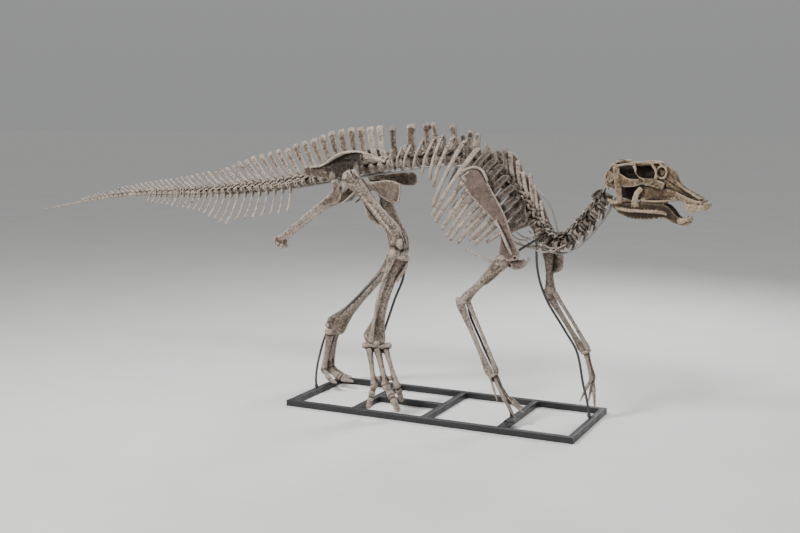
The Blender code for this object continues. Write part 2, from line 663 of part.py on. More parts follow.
def shoulder_pieces(side):
    """Shoulder blade with the hooked bone below it."""
    shift = LEFT_BLADE_SHIFT if side == "left" else (0.0, 0.0)
    points, halves = [], []
    for (x, z), half, out, thick in zip(BLADE_AXIS, BLADE_HALVES, BLADE_OUT, BLADE_THICK):
        points.append(placed(side, (x + shift[0], out, z + shift[1])))
        halves.append((thick, half))
    blade = loft(points, halves, 8)
    foot = [(0.500, 0.192, 1.062), (0.548, 0.185, 1.035), (0.590, 0.172, 1.040),
            (0.628, 0.158, 1.072)]
    foot = [placed(side, (x + shift[0], y, z + shift[1])) for x, y, z in foot]
    hook = loft(foot, [(0.020, 0.034), (0.018, 0.036), (0.014, 0.026), (0.010, 0.014)], 6)
    return [blade, hook]


def sternal_pieces(side):
    """Breast plate: a paddle at the front and a bar to the back."""
    shift = LEFT_BLADE_SHIFT if side == "left" else (0.0, 0.0)
    line = [(0.200, 0.125, 1.100), (0.300, 0.130, 1.060), (0.385, 0.135, 1.026),
            (0.465, 0.145, 1.014), (0.525, 0.165, 1.035)]
    line = [placed(side, (x + shift[0], y, z + shift[1])) for x, y, z in line]
    halves = [(0.012, 0.009), (0.012, 0.008), (0.018, 0.008), (0.030, 0.010), (0.026, 0.012)]
    return [loft(line, halves, 6)]


def limb_bone(start, end, stations, across, sides=8, ahead=(1.0, 0.0, 0.0)):
    """A long bone through stations like those of the thigh bone's table."""
    points, halves = [], []
    for share, a, b, *shift in stations:
        points.append(start.lerp(end, share) + Vector(ahead) * sum(shift))
        halves.append((a, b))
    return loft(points, halves, sides, across)


def build_hip(side):
    """Hip blade, front plate and rear rod of one side of the pelvis."""
    sign = side_of(side)
    points = [(x, sign * out, (high + low) / 2) for x, high, low, out, _ in ILIUM]
    halves = [(thick, (high - low) / 2) for _, high, low, _, thick in ILIUM]
    blade = loft(points, halves, 8)
    front_foot = loft([(-0.590, sign * 0.128, 1.640), (-0.575, sign * 0.132, 1.530)],
                      [(0.016, 0.030), (0.014, 0.018)], 6)
    shelf = loft([(-0.80, sign * 0.135, 1.635), (-0.73, sign * 0.150, 1.660),
                  (-0.66, sign * 0.138, 1.690)],
                 [(0.010, 0.008), (0.018, 0.012), (0.010, 0.008)], 6)
    solid("ilium_" + side, [blade, front_foot, shelf])
    plate = loft([(x, sign * out, z) for x, out, z in PUBIS_LINE[side]], PUBIS_HALVES[side], 8)
    strut = loft([(-0.565, sign * 0.125, 1.500), (-0.620, sign * 0.115, 1.425),
                  (-0.720, sign * 0.105, 1.352)],
                 [(0.008, 0.014), (0.007, 0.010), (0.006, 0.008)], 6)
    solid("pubis_" + side, [plate, strut])
    shaft = loft([(-0.755, sign * 0.122, 1.515), (-0.745, sign * 0.116, 1.450),
                  (-0.772, sign * 0.104, 1.402), (-0.840, sign * 0.085, 1.366),
                  (-0.955, sign * 0.066, 1.302), (-1.108, sign * 0.045, 1.194),
                  (-1.205, sign * 0.034, 1.120), (-1.262, sign * 0.030, 1.074)],
                 [(0.018, 0.030), (0.013, 0.034), (0.011, 0.044), (0.011, 0.028),
                  (0.012, 0.020), (0.012, 0.019), (0.013, 0.023), (0.014, 0.034)], 8)
    boot = loft([(-1.292, sign * 0.030, 1.098), (-1.268, sign * 0.030, 1.064),
                 (-1.232, sign * 0.030, 1.030)],
                [(0.012, 0.014), (0.015, 0.028), (0.012, 0.016)], 6)
    solid("ischium_" + side, [shaft, boot])


def build_thigh(side, joints):
    """Thigh bone with its ball, greater process, ridge and two lower knobs."""
    hip, knee = placed(side, joints["hip"]), placed(side, joints["knee"])
    sign = side_of(side)
    down = (knee - hip).normalized()
    fore = Vector((0.0, 1.0, 0.0)).cross(down).normalized()
    fore = fore if fore.x > 0 else -fore
    out = Vector((0.0, sign, 0.0))
    top = hip + out * 0.055
    low = knee + out * 0.004
    shaft = limb_bone(top, low, FEMUR, out, ahead=fore)
    head = ball(hip + out * 0.018 + down * 0.020, (0.040, 0.046, 0.040))
    ridge_at = top.lerp(low, 0.50) - fore * 0.018
    ridge = loft([ridge_at - down * 0.085, ridge_at - fore * 0.032 + down * 0.020,
                  ridge_at + down * 0.060],
                 [(0.006, 0.014), (0.010, 0.028), (0.006, 0.010)], 4)
    pieces = [shaft, head, ridge]
    for y in (-0.030, 0.030):
        knob = low + Vector((0.0, y, 0.0)) - fore * 0.026 - down * 0.008
        pieces.append(loft([knob - out * 0.024, knob, knob + out * 0.024],
                           [(0.024, 0.024), (0.042, 0.044), (0.024, 0.024)], 8, fore))
    solid("femur_" + side, pieces, keep=KEPT["thigh"])


def build_shin(side, joints):
    """Shin bone and the thin bone beside it."""
    knee, ankle = placed(side, joints["knee"]), placed(side, joints["ankle"])
    sign = side_of(side)
    down = (ankle - knee).normalized()
    fore = Vector((0.0, 1.0, 0.0)).cross(down).normalized()
    fore = fore if fore.x > 0 else -fore
    out = Vector((0.0, sign, 0.0))
    start, end = knee - out * 0.004, ankle - out * 0.004
    lag = joints["shin_lag"]
    shaft = limb_bone(start, end, ((0.03, 0.046, 0.064), (0.075, 0.048, 0.070),
                                   (0.15, 0.040, 0.052), (0.28, 0.031, 0.034, -lag * 0.5),
                                   (0.55, 0.028, 0.031, -lag), (0.78, 0.034, 0.046, -lag),
                                   (0.92, 0.050, 0.076, -lag), (0.98, 0.054, 0.074, -lag)),
                      out, 8, fore)
    crest = loft([start + down * 0.040 + fore * 0.048, start + down * 0.105 + fore * 0.046,
                  start + down * 0.185 + fore * 0.026],
                 [(0.012, 0.022), (0.010, 0.022), (0.008, 0.012)], 4)
    solid("tibia_" + side, [shaft, crest])
    back, aside = joints["shin_side"]
    top = knee + out * 0.046 + fore * back * 0.5 + down * 0.035
    foot = ankle + out * 0.052 - down * 0.022 + fore * aside * 0.3
    thin = limb_bone(top, foot, ((0.0, 0.012, 0.026), (0.08, 0.012, 0.024, -0.004),
                                 (0.25, 0.009, 0.014, -0.010 - lag * 0.5),
                                 (0.6, 0.009, 0.011, -0.012 - lag),
                                 (0.9, 0.012, 0.014, -0.006 - lag),
                                 (1.0, 0.013, 0.017, -lag)), out, 6, fore)
    solid("fibula_" + side, [thin])


def digit(start, end, joints, half, arch=0.0, claw=0.55):
    """A toe or finger: thick joints, thin middles and a blunt hoof at the tip."""
    points, halves = [], []
    spans = len(joints) - 1
    for i, share in enumerate(joints):
        taper = 1.0 - 0.25 * share
        lift = Vector((0.0, 0.0, arch * math.sin(math.pi * share)))
        points.append(start.lerp(end, share) + lift)
        halves.append((half * taper, half * taper * 0.86))
        if i < spans:
            middle = (share + joints[i + 1]) / 2
            last = i == spans - 1
            lift = Vector((0.0, 0.0, arch * math.sin(math.pi * middle)))
            points.append(start.lerp(end, middle) + lift)
            size = 0.98 if last else 0.74
            halves.append((half * taper * size, half * taper * size * (0.6 if last else 0.8)))
    halves[-1] = (half * claw, half * 0.30)
    return loft(points, halves)


def build_foot(side, joints):
    """Ankle bones, three long foot bones and three hoofed toes."""
    ankle, knuckle = placed(side, joints["ankle"]), placed(side, joints["knuckle"])
    (ahead, aside), wider = joints["spread"]
    out = Vector((ahead, side_of(side) * aside, 0.0)).normalized()
    down = (knuckle - ankle).normalized()
    pieces = [loft([ankle - out * 0.058 * wider + down * 0.012, ankle + down * 0.020,
                    ankle + out * 0.062 * wider + down * 0.012],
                   [(0.036, 0.022), (0.038, 0.024), (0.030, 0.020)], 6, out.cross(down))]
    spread = (0.052 * wider, 0.0, -0.050 * wider)
    top_spread = (0.036 * wider, 0.0, -0.036 * wider)
    widths = (0.022, 0.026, 0.021)
    for tip, low, high, half in zip(joints["tips"], spread, top_spread, widths):
        top = ankle + out * high + down * 0.036
        toe_root = knuckle + out * low
        pieces.append(limb_bone(top, toe_root + down * 0.006,
                                ((0.0, half * 1.1, half * 1.25), (0.14, half, half * 1.1),
                                 (0.5, half * 0.74, half * 0.9), (0.86, half * 1.0, half * 1.0),
                                 (1.0, half * 1.05, half * 1.0)), out, 6))
        pieces.append(digit(toe_root - down * 0.004, placed(side, tip),
                            (0.0, 0.42, 0.66, 1.0), half * 1.08, joints["toe_sag"]))
    web = loft([knuckle - out * 0.05 - down * 0.05, knuckle + out * 0.05 - down * 0.05],
               [(0.016, 0.016), (0.016, 0.016)], 4, out.cross(down))
    pieces.append(web)
    solid("foot_" + side, pieces, keep=KEPT["foot"])


def build_arm(side, joints):
    """Upper arm, the two forearm bones and the narrow hand."""
    sign = side_of(side)
    out = Vector((0.0, sign, 0.0))
    shoulder, elbow = placed(side, joints["shoulder"]), placed(side, joints["elbow"])
    wrist, knuckle = placed(side, joints["wrist"]), placed(side, joints["knuckle"])
    down = (elbow - shoulder).normalized()
    fore = Vector((0.0, 1.0, 0.0)).cross(down).normalized()
    fore = fore if fore.x > 0 else -fore
    shaft = limb_bone(shoulder, elbow, HUMERUS, out)
    reach = joints["crest"]
    crest = loft([shoulder.lerp(elbow, 0.12) + fore * (reach * 0.5),
                  shoulder.lerp(elbow, 0.26) + fore * reach,
                  shoulder.lerp(elbow, 0.48) + fore * reach,
                  shoulder.lerp(elbow, 0.58) + fore * (reach * 0.4)],
                 [(0.013, 0.024), (0.013, 0.026), (0.013, 0.024), (0.008, 0.010)], 6)
    solid("humerus_" + side, [shaft, crest])

    down = (wrist - elbow).normalized()
    fore = Vector((0.0, 1.0, 0.0)).cross(down).normalized()
    fore = fore if fore.x > 0 else -fore
    ulna_top = elbow - fore * 0.024 - down * 0.030 + out * 0.012
    ulna = limb_bone(ulna_top, wrist - fore * 0.018 + out * 0.010, ULNA, out)
    solid("ulna_" + side, [ulna])
    radius = limb_bone(elbow + fore * 0.024 + down * 0.018 - out * 0.006,
                       wrist + fore * 0.024 - out * 0.008,
                       RADIUS, out)
    solid("radius_" + side, [radius])

    down = (knuckle - wrist).normalized()
    pieces = [loft([wrist - out * 0.034 + down * 0.004, wrist + out * 0.034 + down * 0.004],
                   [(0.030, 0.014), (0.030, 0.014)], 6, fore)]
    spread = (0.024, 0.0, -0.024)
    widths = (0.014, 0.0165, 0.014)
    for tip, off, half in zip(joints["tips"], spread, widths):
        root = wrist + out * off * 0.6 + down * 0.006
        end = knuckle + out * off
        pieces.append(limb_bone(root, end, ((0.0, half * 1.1, half * 1.2),
                                            (0.5, half * 0.8, half * 0.85),
                                            (0.9, half * 1.05, half * 1.05),
                                            (1.0, half, half)), out, 6))
        pieces.append(digit(end - down * 0.006, placed(side, tip), (0.0, 0.46, 1.0),
                            half * 1.05, 0.006, 0.7))
    little = wrist + out * 0.030 - fore * 0.012
    pieces.append(digit(little, knuckle + out * 0.052 - fore * 0.036 - down * 0.012,
                        (0.0, 0.5, 1.0), 0.010, 0.0, 0.5))
    solid("hand_" + side, pieces, keep=KEPT["hand"])


def head_point(x, y, z):
    """A point of the head, stretched and turned about the top of the neck."""
    offset = Vector(((x - HEAD_PIVOT.x) * HEAD_STRETCH, y, z - HEAD_PIVOT.z))
    return HEAD_PIVOT + Matrix.Rotation(HEAD_TURN, 3, "Z") @ offset


def head_loft(points, halves, sides=6):
    """A bar of the head, with its across direction turned with the head."""
    across = Matrix.Rotation(HEAD_TURN, 3, "Z") @ Vector((0.0, 1.0, 0.0))
    return loft([head_point(*p) for p in points], halves, sides, across)


def build_skull():
    """Skull roof and snout, cheek bars, jaw posts and bill, with its openings."""
    points = [(x, 0.0, (low + high) / 2) for x, low, high, _ in SKULL_STATIONS]
    halves = [(width, (high - low) / 2) for _, low, high, width in SKULL_STATIONS]
    pieces = [head_loft(points, halves, 12)]
    pieces.append(head_loft([(1.060, 0.0, 1.535), (1.130, 0.0, 1.545), (1.24, 0.0, 1.56)],
                            [(0.018, 0.016), (0.034, 0.036), (0.030, 0.030)], 8))
    for s in (-1, 1):
        pieces.append(head_loft([(1.125, s * 0.078, 1.640), (1.135, s * 0.088, 1.560),
                                 (1.150, s * 0.088, 1.490), (1.158, s * 0.084, 1.436)],
                                [(0.012, 0.018), (0.011, 0.017), (0.013, 0.020),
                                 (0.018, 0.017)], 6))
        pieces.append(head_loft([(1.148, s * 0.088, 1.530), (1.210, s * 0.090, 1.545),
                                 (1.290, s * 0.082, 1.562), (1.360, s * 0.066, 1.540),
                                 (1.420, s * 0.050, 1.515)],
                                [(0.008, 0.028), (0.008, 0.024), (0.009, 0.020),
                                 (0.010, 0.026), (0.010, 0.030)], 6))
        pieces.append(head_loft([(1.255, s * 0.050, 1.500), (1.320, s * 0.048, 1.482),
                                 (1.420, s * 0.040, 1.478), (1.500, s * 0.030, 1.472)],
                                [(0.014, 0.030), (0.018, 0.046), (0.018, 0.044),
                                 (0.010, 0.026)], 6))
    cuts = []
    turn = Matrix.Rotation(HEAD_TURN, 3, "Z")
    for s in (-1, 1):
        cuts.append(ball(head_point(1.318, s * 0.078, 1.624), (0.052, 0.064, 0.041), 2, turn))
        cuts.append(ball(head_point(1.222, s * 0.088, 1.620), (0.038, 0.064, 0.033), 2, turn))
        cuts.append(ball(head_point(1.165, s * 0.042, 1.686), (0.036, 0.026, 0.040), 2, turn))
        cuts.append(ball(head_point(1.408, s * 0.058, 1.612), (0.032, 0.024, 0.036), 2, turn))
        cuts.append(head_loft([(1.450, s * 0.052, 1.545), (1.530, s * 0.046, 1.500),
                               (1.610, s * 0.066, 1.462)],
                              [(0.012, 0.012), (0.014, 0.010), (0.012, 0.008)], 6))
    solid("skull", pieces, cuts=cuts, keep=KEPT["skull"], colour=BONE_WARM)


def build_jaw():
    """Lower jaw: two deep branches that meet in a scoop at the front."""
    pieces = []
    for s in (-1, 1):
        pieces.append(head_loft([(1.118, s * 0.086, 1.428), (1.150, s * 0.085, 1.408),
                                 (1.205, s * 0.076, 1.385), (1.290, s * 0.062, 1.388),
                                 (1.385, s * 0.050, 1.388), (1.435, s * 0.042, 1.376),
                                 (1.475, s * 0.036, 1.348), (1.530, s * 0.026, 1.330)],
                                [(0.012, 0.014), (0.015, 0.026), (0.015, 0.040),
                                 (0.017, 0.044), (0.017, 0.042), (0.014, 0.032),
                                 (0.012, 0.020), (0.012, 0.016)], 8))
        pieces.append(head_loft([(1.266, s * 0.070, 1.400), (1.274, s * 0.072, 1.460),
                                 (1.296, s * 0.072, 1.522)],
                                [(0.009, 0.024), (0.008, 0.017), (0.008, 0.018)], 6))
        pieces.append(head_loft([(1.500, s * 0.018, 1.334), (1.535, s * 0.046, 1.332),
                                 (1.558, s * 0.040, 1.345)],
                                [(0.022, 0.014), (0.020, 0.016), (0.012, 0.012)], 6))
    pieces.append(head_loft([(1.500, 0.0, 1.326), (1.540, 0.0, 1.318), (1.570, 0.0, 1.332)],
                            [(0.030, 0.012), (0.044, 0.014), (0.036, 0.012)], 8))
    solid("mandible", pieces, keep=KEPT["jaw"], colour=BONE_WARM)


def build():
    """Clear the scene and make every node in the order in which they give way."""
    for obj in list(bpy.data.objects):
        bpy.data.objects.remove(obj)
    build_base()
    build_rods()
    for side in ("right", "left"):
        solid("scapula_" + side, shoulder_pieces(side))
        solid("sternum_" + side, sternal_pieces(side))
        build_hip(side)
    build_tail()
    build_sacrum()
    build_chest()
    build_neck()
    for side in ("right", "left"):
        build_thigh(side, HIND_JOINTS[side])
        build_shin(side, HIND_JOINTS[side])
        build_foot(side, HIND_JOINTS[side])
        build_arm(side, FORE_JOINTS[side])
    build_skull()
    build_jaw()


build()
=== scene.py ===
"""Looks of a mounted duck-billed dinosaur skeleton and of the steel stand that carries it.

Metres, +Z up, +X to the head and +Y to the animal's left. Every bone is a set of closed
forms, lofted from named sizes, which are fused into one surface and then worn and stained.
"""

import logging
import math
from dataclasses import dataclass, field
from enum import Enum

import bmesh
import bpy
import numpy as np
from mathutils import Euler, Matrix, Vector, kdtree


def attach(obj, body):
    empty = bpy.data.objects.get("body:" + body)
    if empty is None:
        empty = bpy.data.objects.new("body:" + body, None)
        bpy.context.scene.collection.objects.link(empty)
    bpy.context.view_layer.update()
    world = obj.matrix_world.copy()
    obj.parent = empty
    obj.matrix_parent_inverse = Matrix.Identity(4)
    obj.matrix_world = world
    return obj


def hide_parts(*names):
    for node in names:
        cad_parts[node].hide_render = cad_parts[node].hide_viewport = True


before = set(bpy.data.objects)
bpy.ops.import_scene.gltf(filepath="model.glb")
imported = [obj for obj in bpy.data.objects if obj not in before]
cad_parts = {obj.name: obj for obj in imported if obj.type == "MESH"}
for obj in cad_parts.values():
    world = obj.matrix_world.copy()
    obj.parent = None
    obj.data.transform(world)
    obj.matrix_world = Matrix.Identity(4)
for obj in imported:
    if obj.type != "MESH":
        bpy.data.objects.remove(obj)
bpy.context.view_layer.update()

log = logging.getLogger("skeleton")

Mesh = bmesh.types.BMesh
Socket = bpy.types.NodeSocket
Table = tuple[tuple[float, float], ...]
Point = tuple[float, float, float]
SIDEWAYS = Vector((0.0, 1.0, 0.0))
UPWARD = Vector((0.0, 0.0, 1.0))
# How far each ring of a bar's domed end stands out, and its size, as shares of the half size
END_DOME = ((0.36, 0.76), (0.52, 0.4))


class Side(Enum):
    """The animal's own sides, with the sign of y; the right one is near the camera."""

    RIGHT = -1
    LEFT = 1

    @property
    def label(self) -> str:
        """The side's name in lower case."""
        return self.name.lower()

    def put(self, point: Point) -> Vector:
        """A point on this side, from x, distance out and z."""
        return Vector((point[0], self.value * point[1], point[2]))


def at(table: Table, place: float) -> float:
    """Read a size from a table.

    Args:
        table: Pairs of place and size, in rising order of place.
        place: Where to read the size.

    Returns:
        The size, in proportion between two pairs and held beyond the ends.
    """
    if place <= table[0][0]:
        return table[0][1]
    for (x0, v0), (x1, v1) in zip(table, table[1:]):
        if place <= x1:
            return v0 + (v1 - v0) * (place - x0) / (x1 - x0)
    return table[-1][1]


def smooth_line(points: list[Vector], steps: int) -> list[Vector]:
    """Run a smooth curve through points.

    Args:
        points: The points that the curve passes, of any dimension.
        steps: How many parts each span gets.

    Returns:
        The points along the curve.
    """
    pts = [2 * points[0] - points[1], *points, 2 * points[-1] - points[-2]]
    line = []
    for i in range(1, len(pts) - 2):
        for k in range(steps):
            t = k / steps
            line.append(pts[i - 1] * (-0.5 * t + t * t - 0.5 * t ** 3) + pts[i]
                * (1 - 2.5 * t * t + 1.5 * t ** 3) + pts[i + 1] * (0.5 * t + 2 * t * t - 1.5 * t ** 3)
                + pts[i + 2] * (-0.5 * t * t + 0.5 * t ** 3))
    line.append(pts[-2])
    return line


def ring_places(points: list[Vector], halves: list[tuple[float, float]], across: Vector, steps: int,
        round_ends: bool) -> list[Matrix]:
    """Work out where each ring of a bar lies.

    Args:
        points: Middles of the stations.
        halves: Half sizes at each station, across and the other way.
        across: The direction of the first half size.
        steps: Rings from one station to the next.
        round_ends: Whether the ends are domed.

    Returns:
        A matrix for each ring, which takes a unit circle to its place.
    """
    stations = [Vector((*p, *h)) for p, h in zip(points, halves)]
    line = smooth_line(stations, steps)
    last = len(line) - 1
    rings = []
    for i, station in enumerate(line):
        middle = Vector(station[:3])
        a, b = max(station[3], 0.0006), max(station[4], 0.0006)
        along = (Vector(line[min(i + 1, last)][:3]) - Vector(line[max(i - 1, 0)][:3])).normalized()
        side = (across - along * across.dot(along)).normalized()
        other = along.cross(side)
        caps = [(0.0, 1.0)]
        if round_ends and i == 0:
            caps = [*((-shift, size) for shift, size in END_DOME[::-1]), (0.0, 1.0)]
        elif round_ends and i == last:
            caps = [(0.0, 1.0), *END_DOME]
        for shift, size in caps:
            centre = middle + along * (shift * min(a, b))
            ring = Matrix.Identity(4)
            for column, axis in enumerate((side * a * size, other * b * size, along * 0.01, centre)):
                for row in range(3):
                    ring[row][column] = axis[row]
            rings.append(ring)
    return rings


def bar(points: list[Vector], halves: list[tuple[float, float]], across: Vector = SIDEWAYS, sides: int = 14,
        steps: int = 4, round_ends: bool = True) -> Mesh:
    """Loft a closed bar by extruding one circle from ring to ring.

    Args:
        points: Middles of the stations.
        halves: Half sizes at each station, across and the other way.
        across: The direction of the first half size.
        sides: Points on each ring.
        steps: Rings from one station to the next.
        round_ends: Whether the ends are domed.

    Returns:
        The bar as a bmesh.
    """
    rings = ring_places([Vector(p) for p in points], halves, across, steps, round_ends)
    bm = bmesh.new()
    bmesh.ops.create_circle(bm, cap_ends=True, segments=sides, radius=1.0, matrix=rings[0])
    edges = bm.edges[:]
    for before, after in zip(rings, rings[1:]):
        made = bmesh.ops.extrude_edge_only(bm, edges=edges)["geom"]
        verts = {item for item in made if isinstance(item, bmesh.types.BMVert)}
        edges = [item for item in made if isinstance(item,
            bmesh.types.BMEdge) and item.verts[0] in verts and item.verts[1] in verts]
        bmesh.ops.transform(bm, matrix=after @ before.inverted(), verts=list(verts))
    bmesh.ops.contextual_create(bm, geom=edges)
    bmesh.ops.recalc_face_normals(bm, faces=bm.faces)
    return bm


def lump(centre: Vector, halves: Point, turn: Matrix | None = None, detail: int = 3) -> Mesh:
    """Make an egg shaped form.

    Args:
        centre: Its middle.
        halves: Its three half sizes.
        turn: An optional rotation of its axes.
        detail: How often its faces are divided.

    Returns:
        The form as a bmesh.
    """
    bm = bmesh.new()
    place = Matrix.Translation(centre) @ (turn.to_4x4() if turn else Matrix.Identity(4))
    size = Matrix.Diagonal([*halves, 1.0])
    bmesh.ops.create_icosphere(bm, subdivisions=detail, radius=1.0, matrix=place @ size)
    return bm


def object_of(name: str, bm: Mesh) -> bpy.types.Object:
    """Put a bmesh into the scene as an object at the origin, and free it."""
    mesh = bpy.data.meshes.new(name)
    bm.to_mesh(mesh)
    bm.free()
    obj = bpy.data.objects.new(name, mesh)
    bpy.context.scene.collection.objects.link(obj)
    return obj


def apply_modifiers(obj: bpy.types.Object) -> None:
    """Replace an object's mesh by what its modifiers make of it."""
    graph = bpy.context.evaluated_depsgraph_get()
    graph.update()
    made = bpy.data.meshes.new_from_object(obj.evaluated_get(graph))
    obj.modifiers.clear()
    old = obj.data
    obj.data = made
    bpy.data.meshes.remove(old)


def add_remesh(obj: bpy.types.Object, voxel: float) -> None:
    """Fuse overlapping closed forms into one skin of even faces."""
    fused = obj.modifiers.new("fuse", "REMESH")
    fused.mode = "VOXEL"
    fused.voxel_size = voxel
    fused.use_smooth_shade = True


def add_relief(obj: bpy.types.Object, size: float, depth: float, octaves: int) -> None:
    """Push the surface in and out by a cloud pattern.

    Args:
        obj: The object to roughen.
        size: Size of the pattern's largest lumps.
        depth: Distance between its lowest and highest points.
        octaves: How many finer patterns lie on the first.
    """
    cloud = bpy.data.textures.new(f"{obj.name}_relief", "CLOUDS")
    cloud.noise_scale = size
    cloud.noise_depth = octaves
    push = obj.modifiers.new("relief", "DISPLACE")
    push.texture = cloud
    push.texture_coords = "LOCAL"
    push.strength = depth
    push.mid_level = 0.5


def mark_hollows(obj: bpy.types.Object, rounds: int = 14, full: float = 0.0028) -> None:
    """Store on each point how far it lies in a hollow or, below zero, on an edge; from it the bone material
    paints shade into hollows and highlights onto edges.

    Args:
        obj: The object whose mesh is read.
        rounds: How often the positions are averaged with their neighbours.
        full: The depth that counts as one.
    """
    mesh = obj.data
    count = len(mesh.vertices)
    places = np.empty(count * 3)
    mesh.vertices.foreach_get("co", places)
    places = places.reshape(-1, 3)
    ends = np.empty(len(mesh.edges) * 2, dtype=np.int64)
    mesh.edges.foreach_get("vertices", ends)
    first, second = ends.reshape(-1, 2).T
    links = np.maximum(np.bincount(first, minlength=count) + np.bincount(second, minlength=count), 1)
    soft = places.copy()
    for _ in range(rounds):
        sums = [np.bincount(first, soft[second, k], count) + np.bincount(second, soft[first, k],
            count) for k in range(3)]
        soft = np.stack(sums, axis=1) / links[:, None]
    normals = np.empty(count * 3)
    mesh.vertex_normals.foreach_get("vector", normals)
    depth = ((soft - places) * normals.reshape(-1, 3)).sum(axis=1)
    hollow = mesh.attributes.new("hollow", "FLOAT", "POINT")
    hollow.data.foreach_set("value", np.clip(depth / full, -1.0, 1.0).astype(np.float32))


@dataclass
class BoneForm:
    """Closed forms that overlap, kept together until they are fused into one piece."""

    name: str
    voxel: float = 0.004
    rounds: int = 2
    relief: float = 0.0022
    coarse: float = 0.055
    fine: float = 0.012
    forms: Mesh = field(default_factory=bmesh.new)
    hollows: Mesh = field(default_factory=bmesh.new)
    tones: list[float] = field(default_factory=list)
    tone: float = 0.0

    def add(self, bm: Mesh) -> None:
        """Take in one closed form, with the tone that is set."""
        self.tones += [self.tone] * len(bm.verts)
        self._join(bm, self.forms)

    def cut(self, bm: Mesh) -> None:
        """Take in one closed form that is hollowed out of the bone."""
        self._join(bm, self.hollows)

    @staticmethod
    def _join(bm: Mesh, whole: Mesh) -> None:
        """Copy one bmesh into another, and free it."""
        mesh = bpy.data.meshes.new("part")
        bm.to_mesh(mesh)
        bm.free()
        whole.from_mesh(mesh)
        bpy.data.meshes.remove(mesh)

    def bar(self, points: list[Vector], halves: list[tuple[float, float]], across: Vector = SIDEWAYS,
            **options: int) -> None:
        """Add a bar, given as in the function of that name."""
        self.add(bar(points, halves, across, **options))

    def lump(self, centre: Vector, halves: Point, turn: Matrix | None = None) -> None:
        """Add an egg shaped form."""
        self.add(lump(centre, halves, turn))

    def fuse(self) -> bpy.types.Object:
        """Join the forms, cut the hollows, soften and roughen the surface, and mark it.

        Returns:
            The finished object, without a material.
        """
        seeds = [vert.co.copy() for vert in self.forms.verts]
        obj = object_of(self.name, self.forms)
        add_remesh(obj, self.voxel)
        if len(self.hollows.verts):
            cutter = object_of(f"{self.name}_hollows", self.hollows)
            add_remesh(cutter, self.voxel)
            apply_modifiers(cutter)
            carve = obj.modifiers.new("carve", "BOOLEAN")
            carve.operation = "DIFFERENCE"
            carve.solver = "MANIFOLD"
            carve.object = cutter
            add_remesh(obj, self.voxel)
            apply_modifiers(obj)
            bpy.data.objects.remove(cutter)
        else:
            self.hollows.free()
        soften = obj.modifiers.new("soften", "SMOOTH")
        soften.iterations = self.rounds
        soften.factor = 0.5
        add_relief(obj, self.coarse, self.relief * 1.6, 2)
        add_relief(obj, self.fine, self.relief, 1)
        apply_modifiers(obj)
        self._mark_tone(obj, seeds)
        mark_hollows(obj)
        obj.data.shade_smooth()
        return obj

    def _mark_tone(self, obj: bpy.types.Object, seeds: list[Vector]) -> None:
        """Give each point the tone of the form that it came from.

        Args:
            obj: The fused object.
            seeds: The points of the forms, in the order of their tones.
        """
        marks = obj.data.attributes.new("tone", "FLOAT", "POINT")
        if len(set(self.tones)) == 1:
            marks.data.foreach_set("value", [self.tones[0]] * len(obj.data.vertices))
            return
        tree = kdtree.KDTree(len(seeds))
        for index, seed in enumerate(seeds):
            tree.insert(seed, index)
        tree.balance()
        values = [self.tones[tree.find(vert.co)[1]] for vert in obj.data.vertices]
        marks.data.foreach_set("value", values)


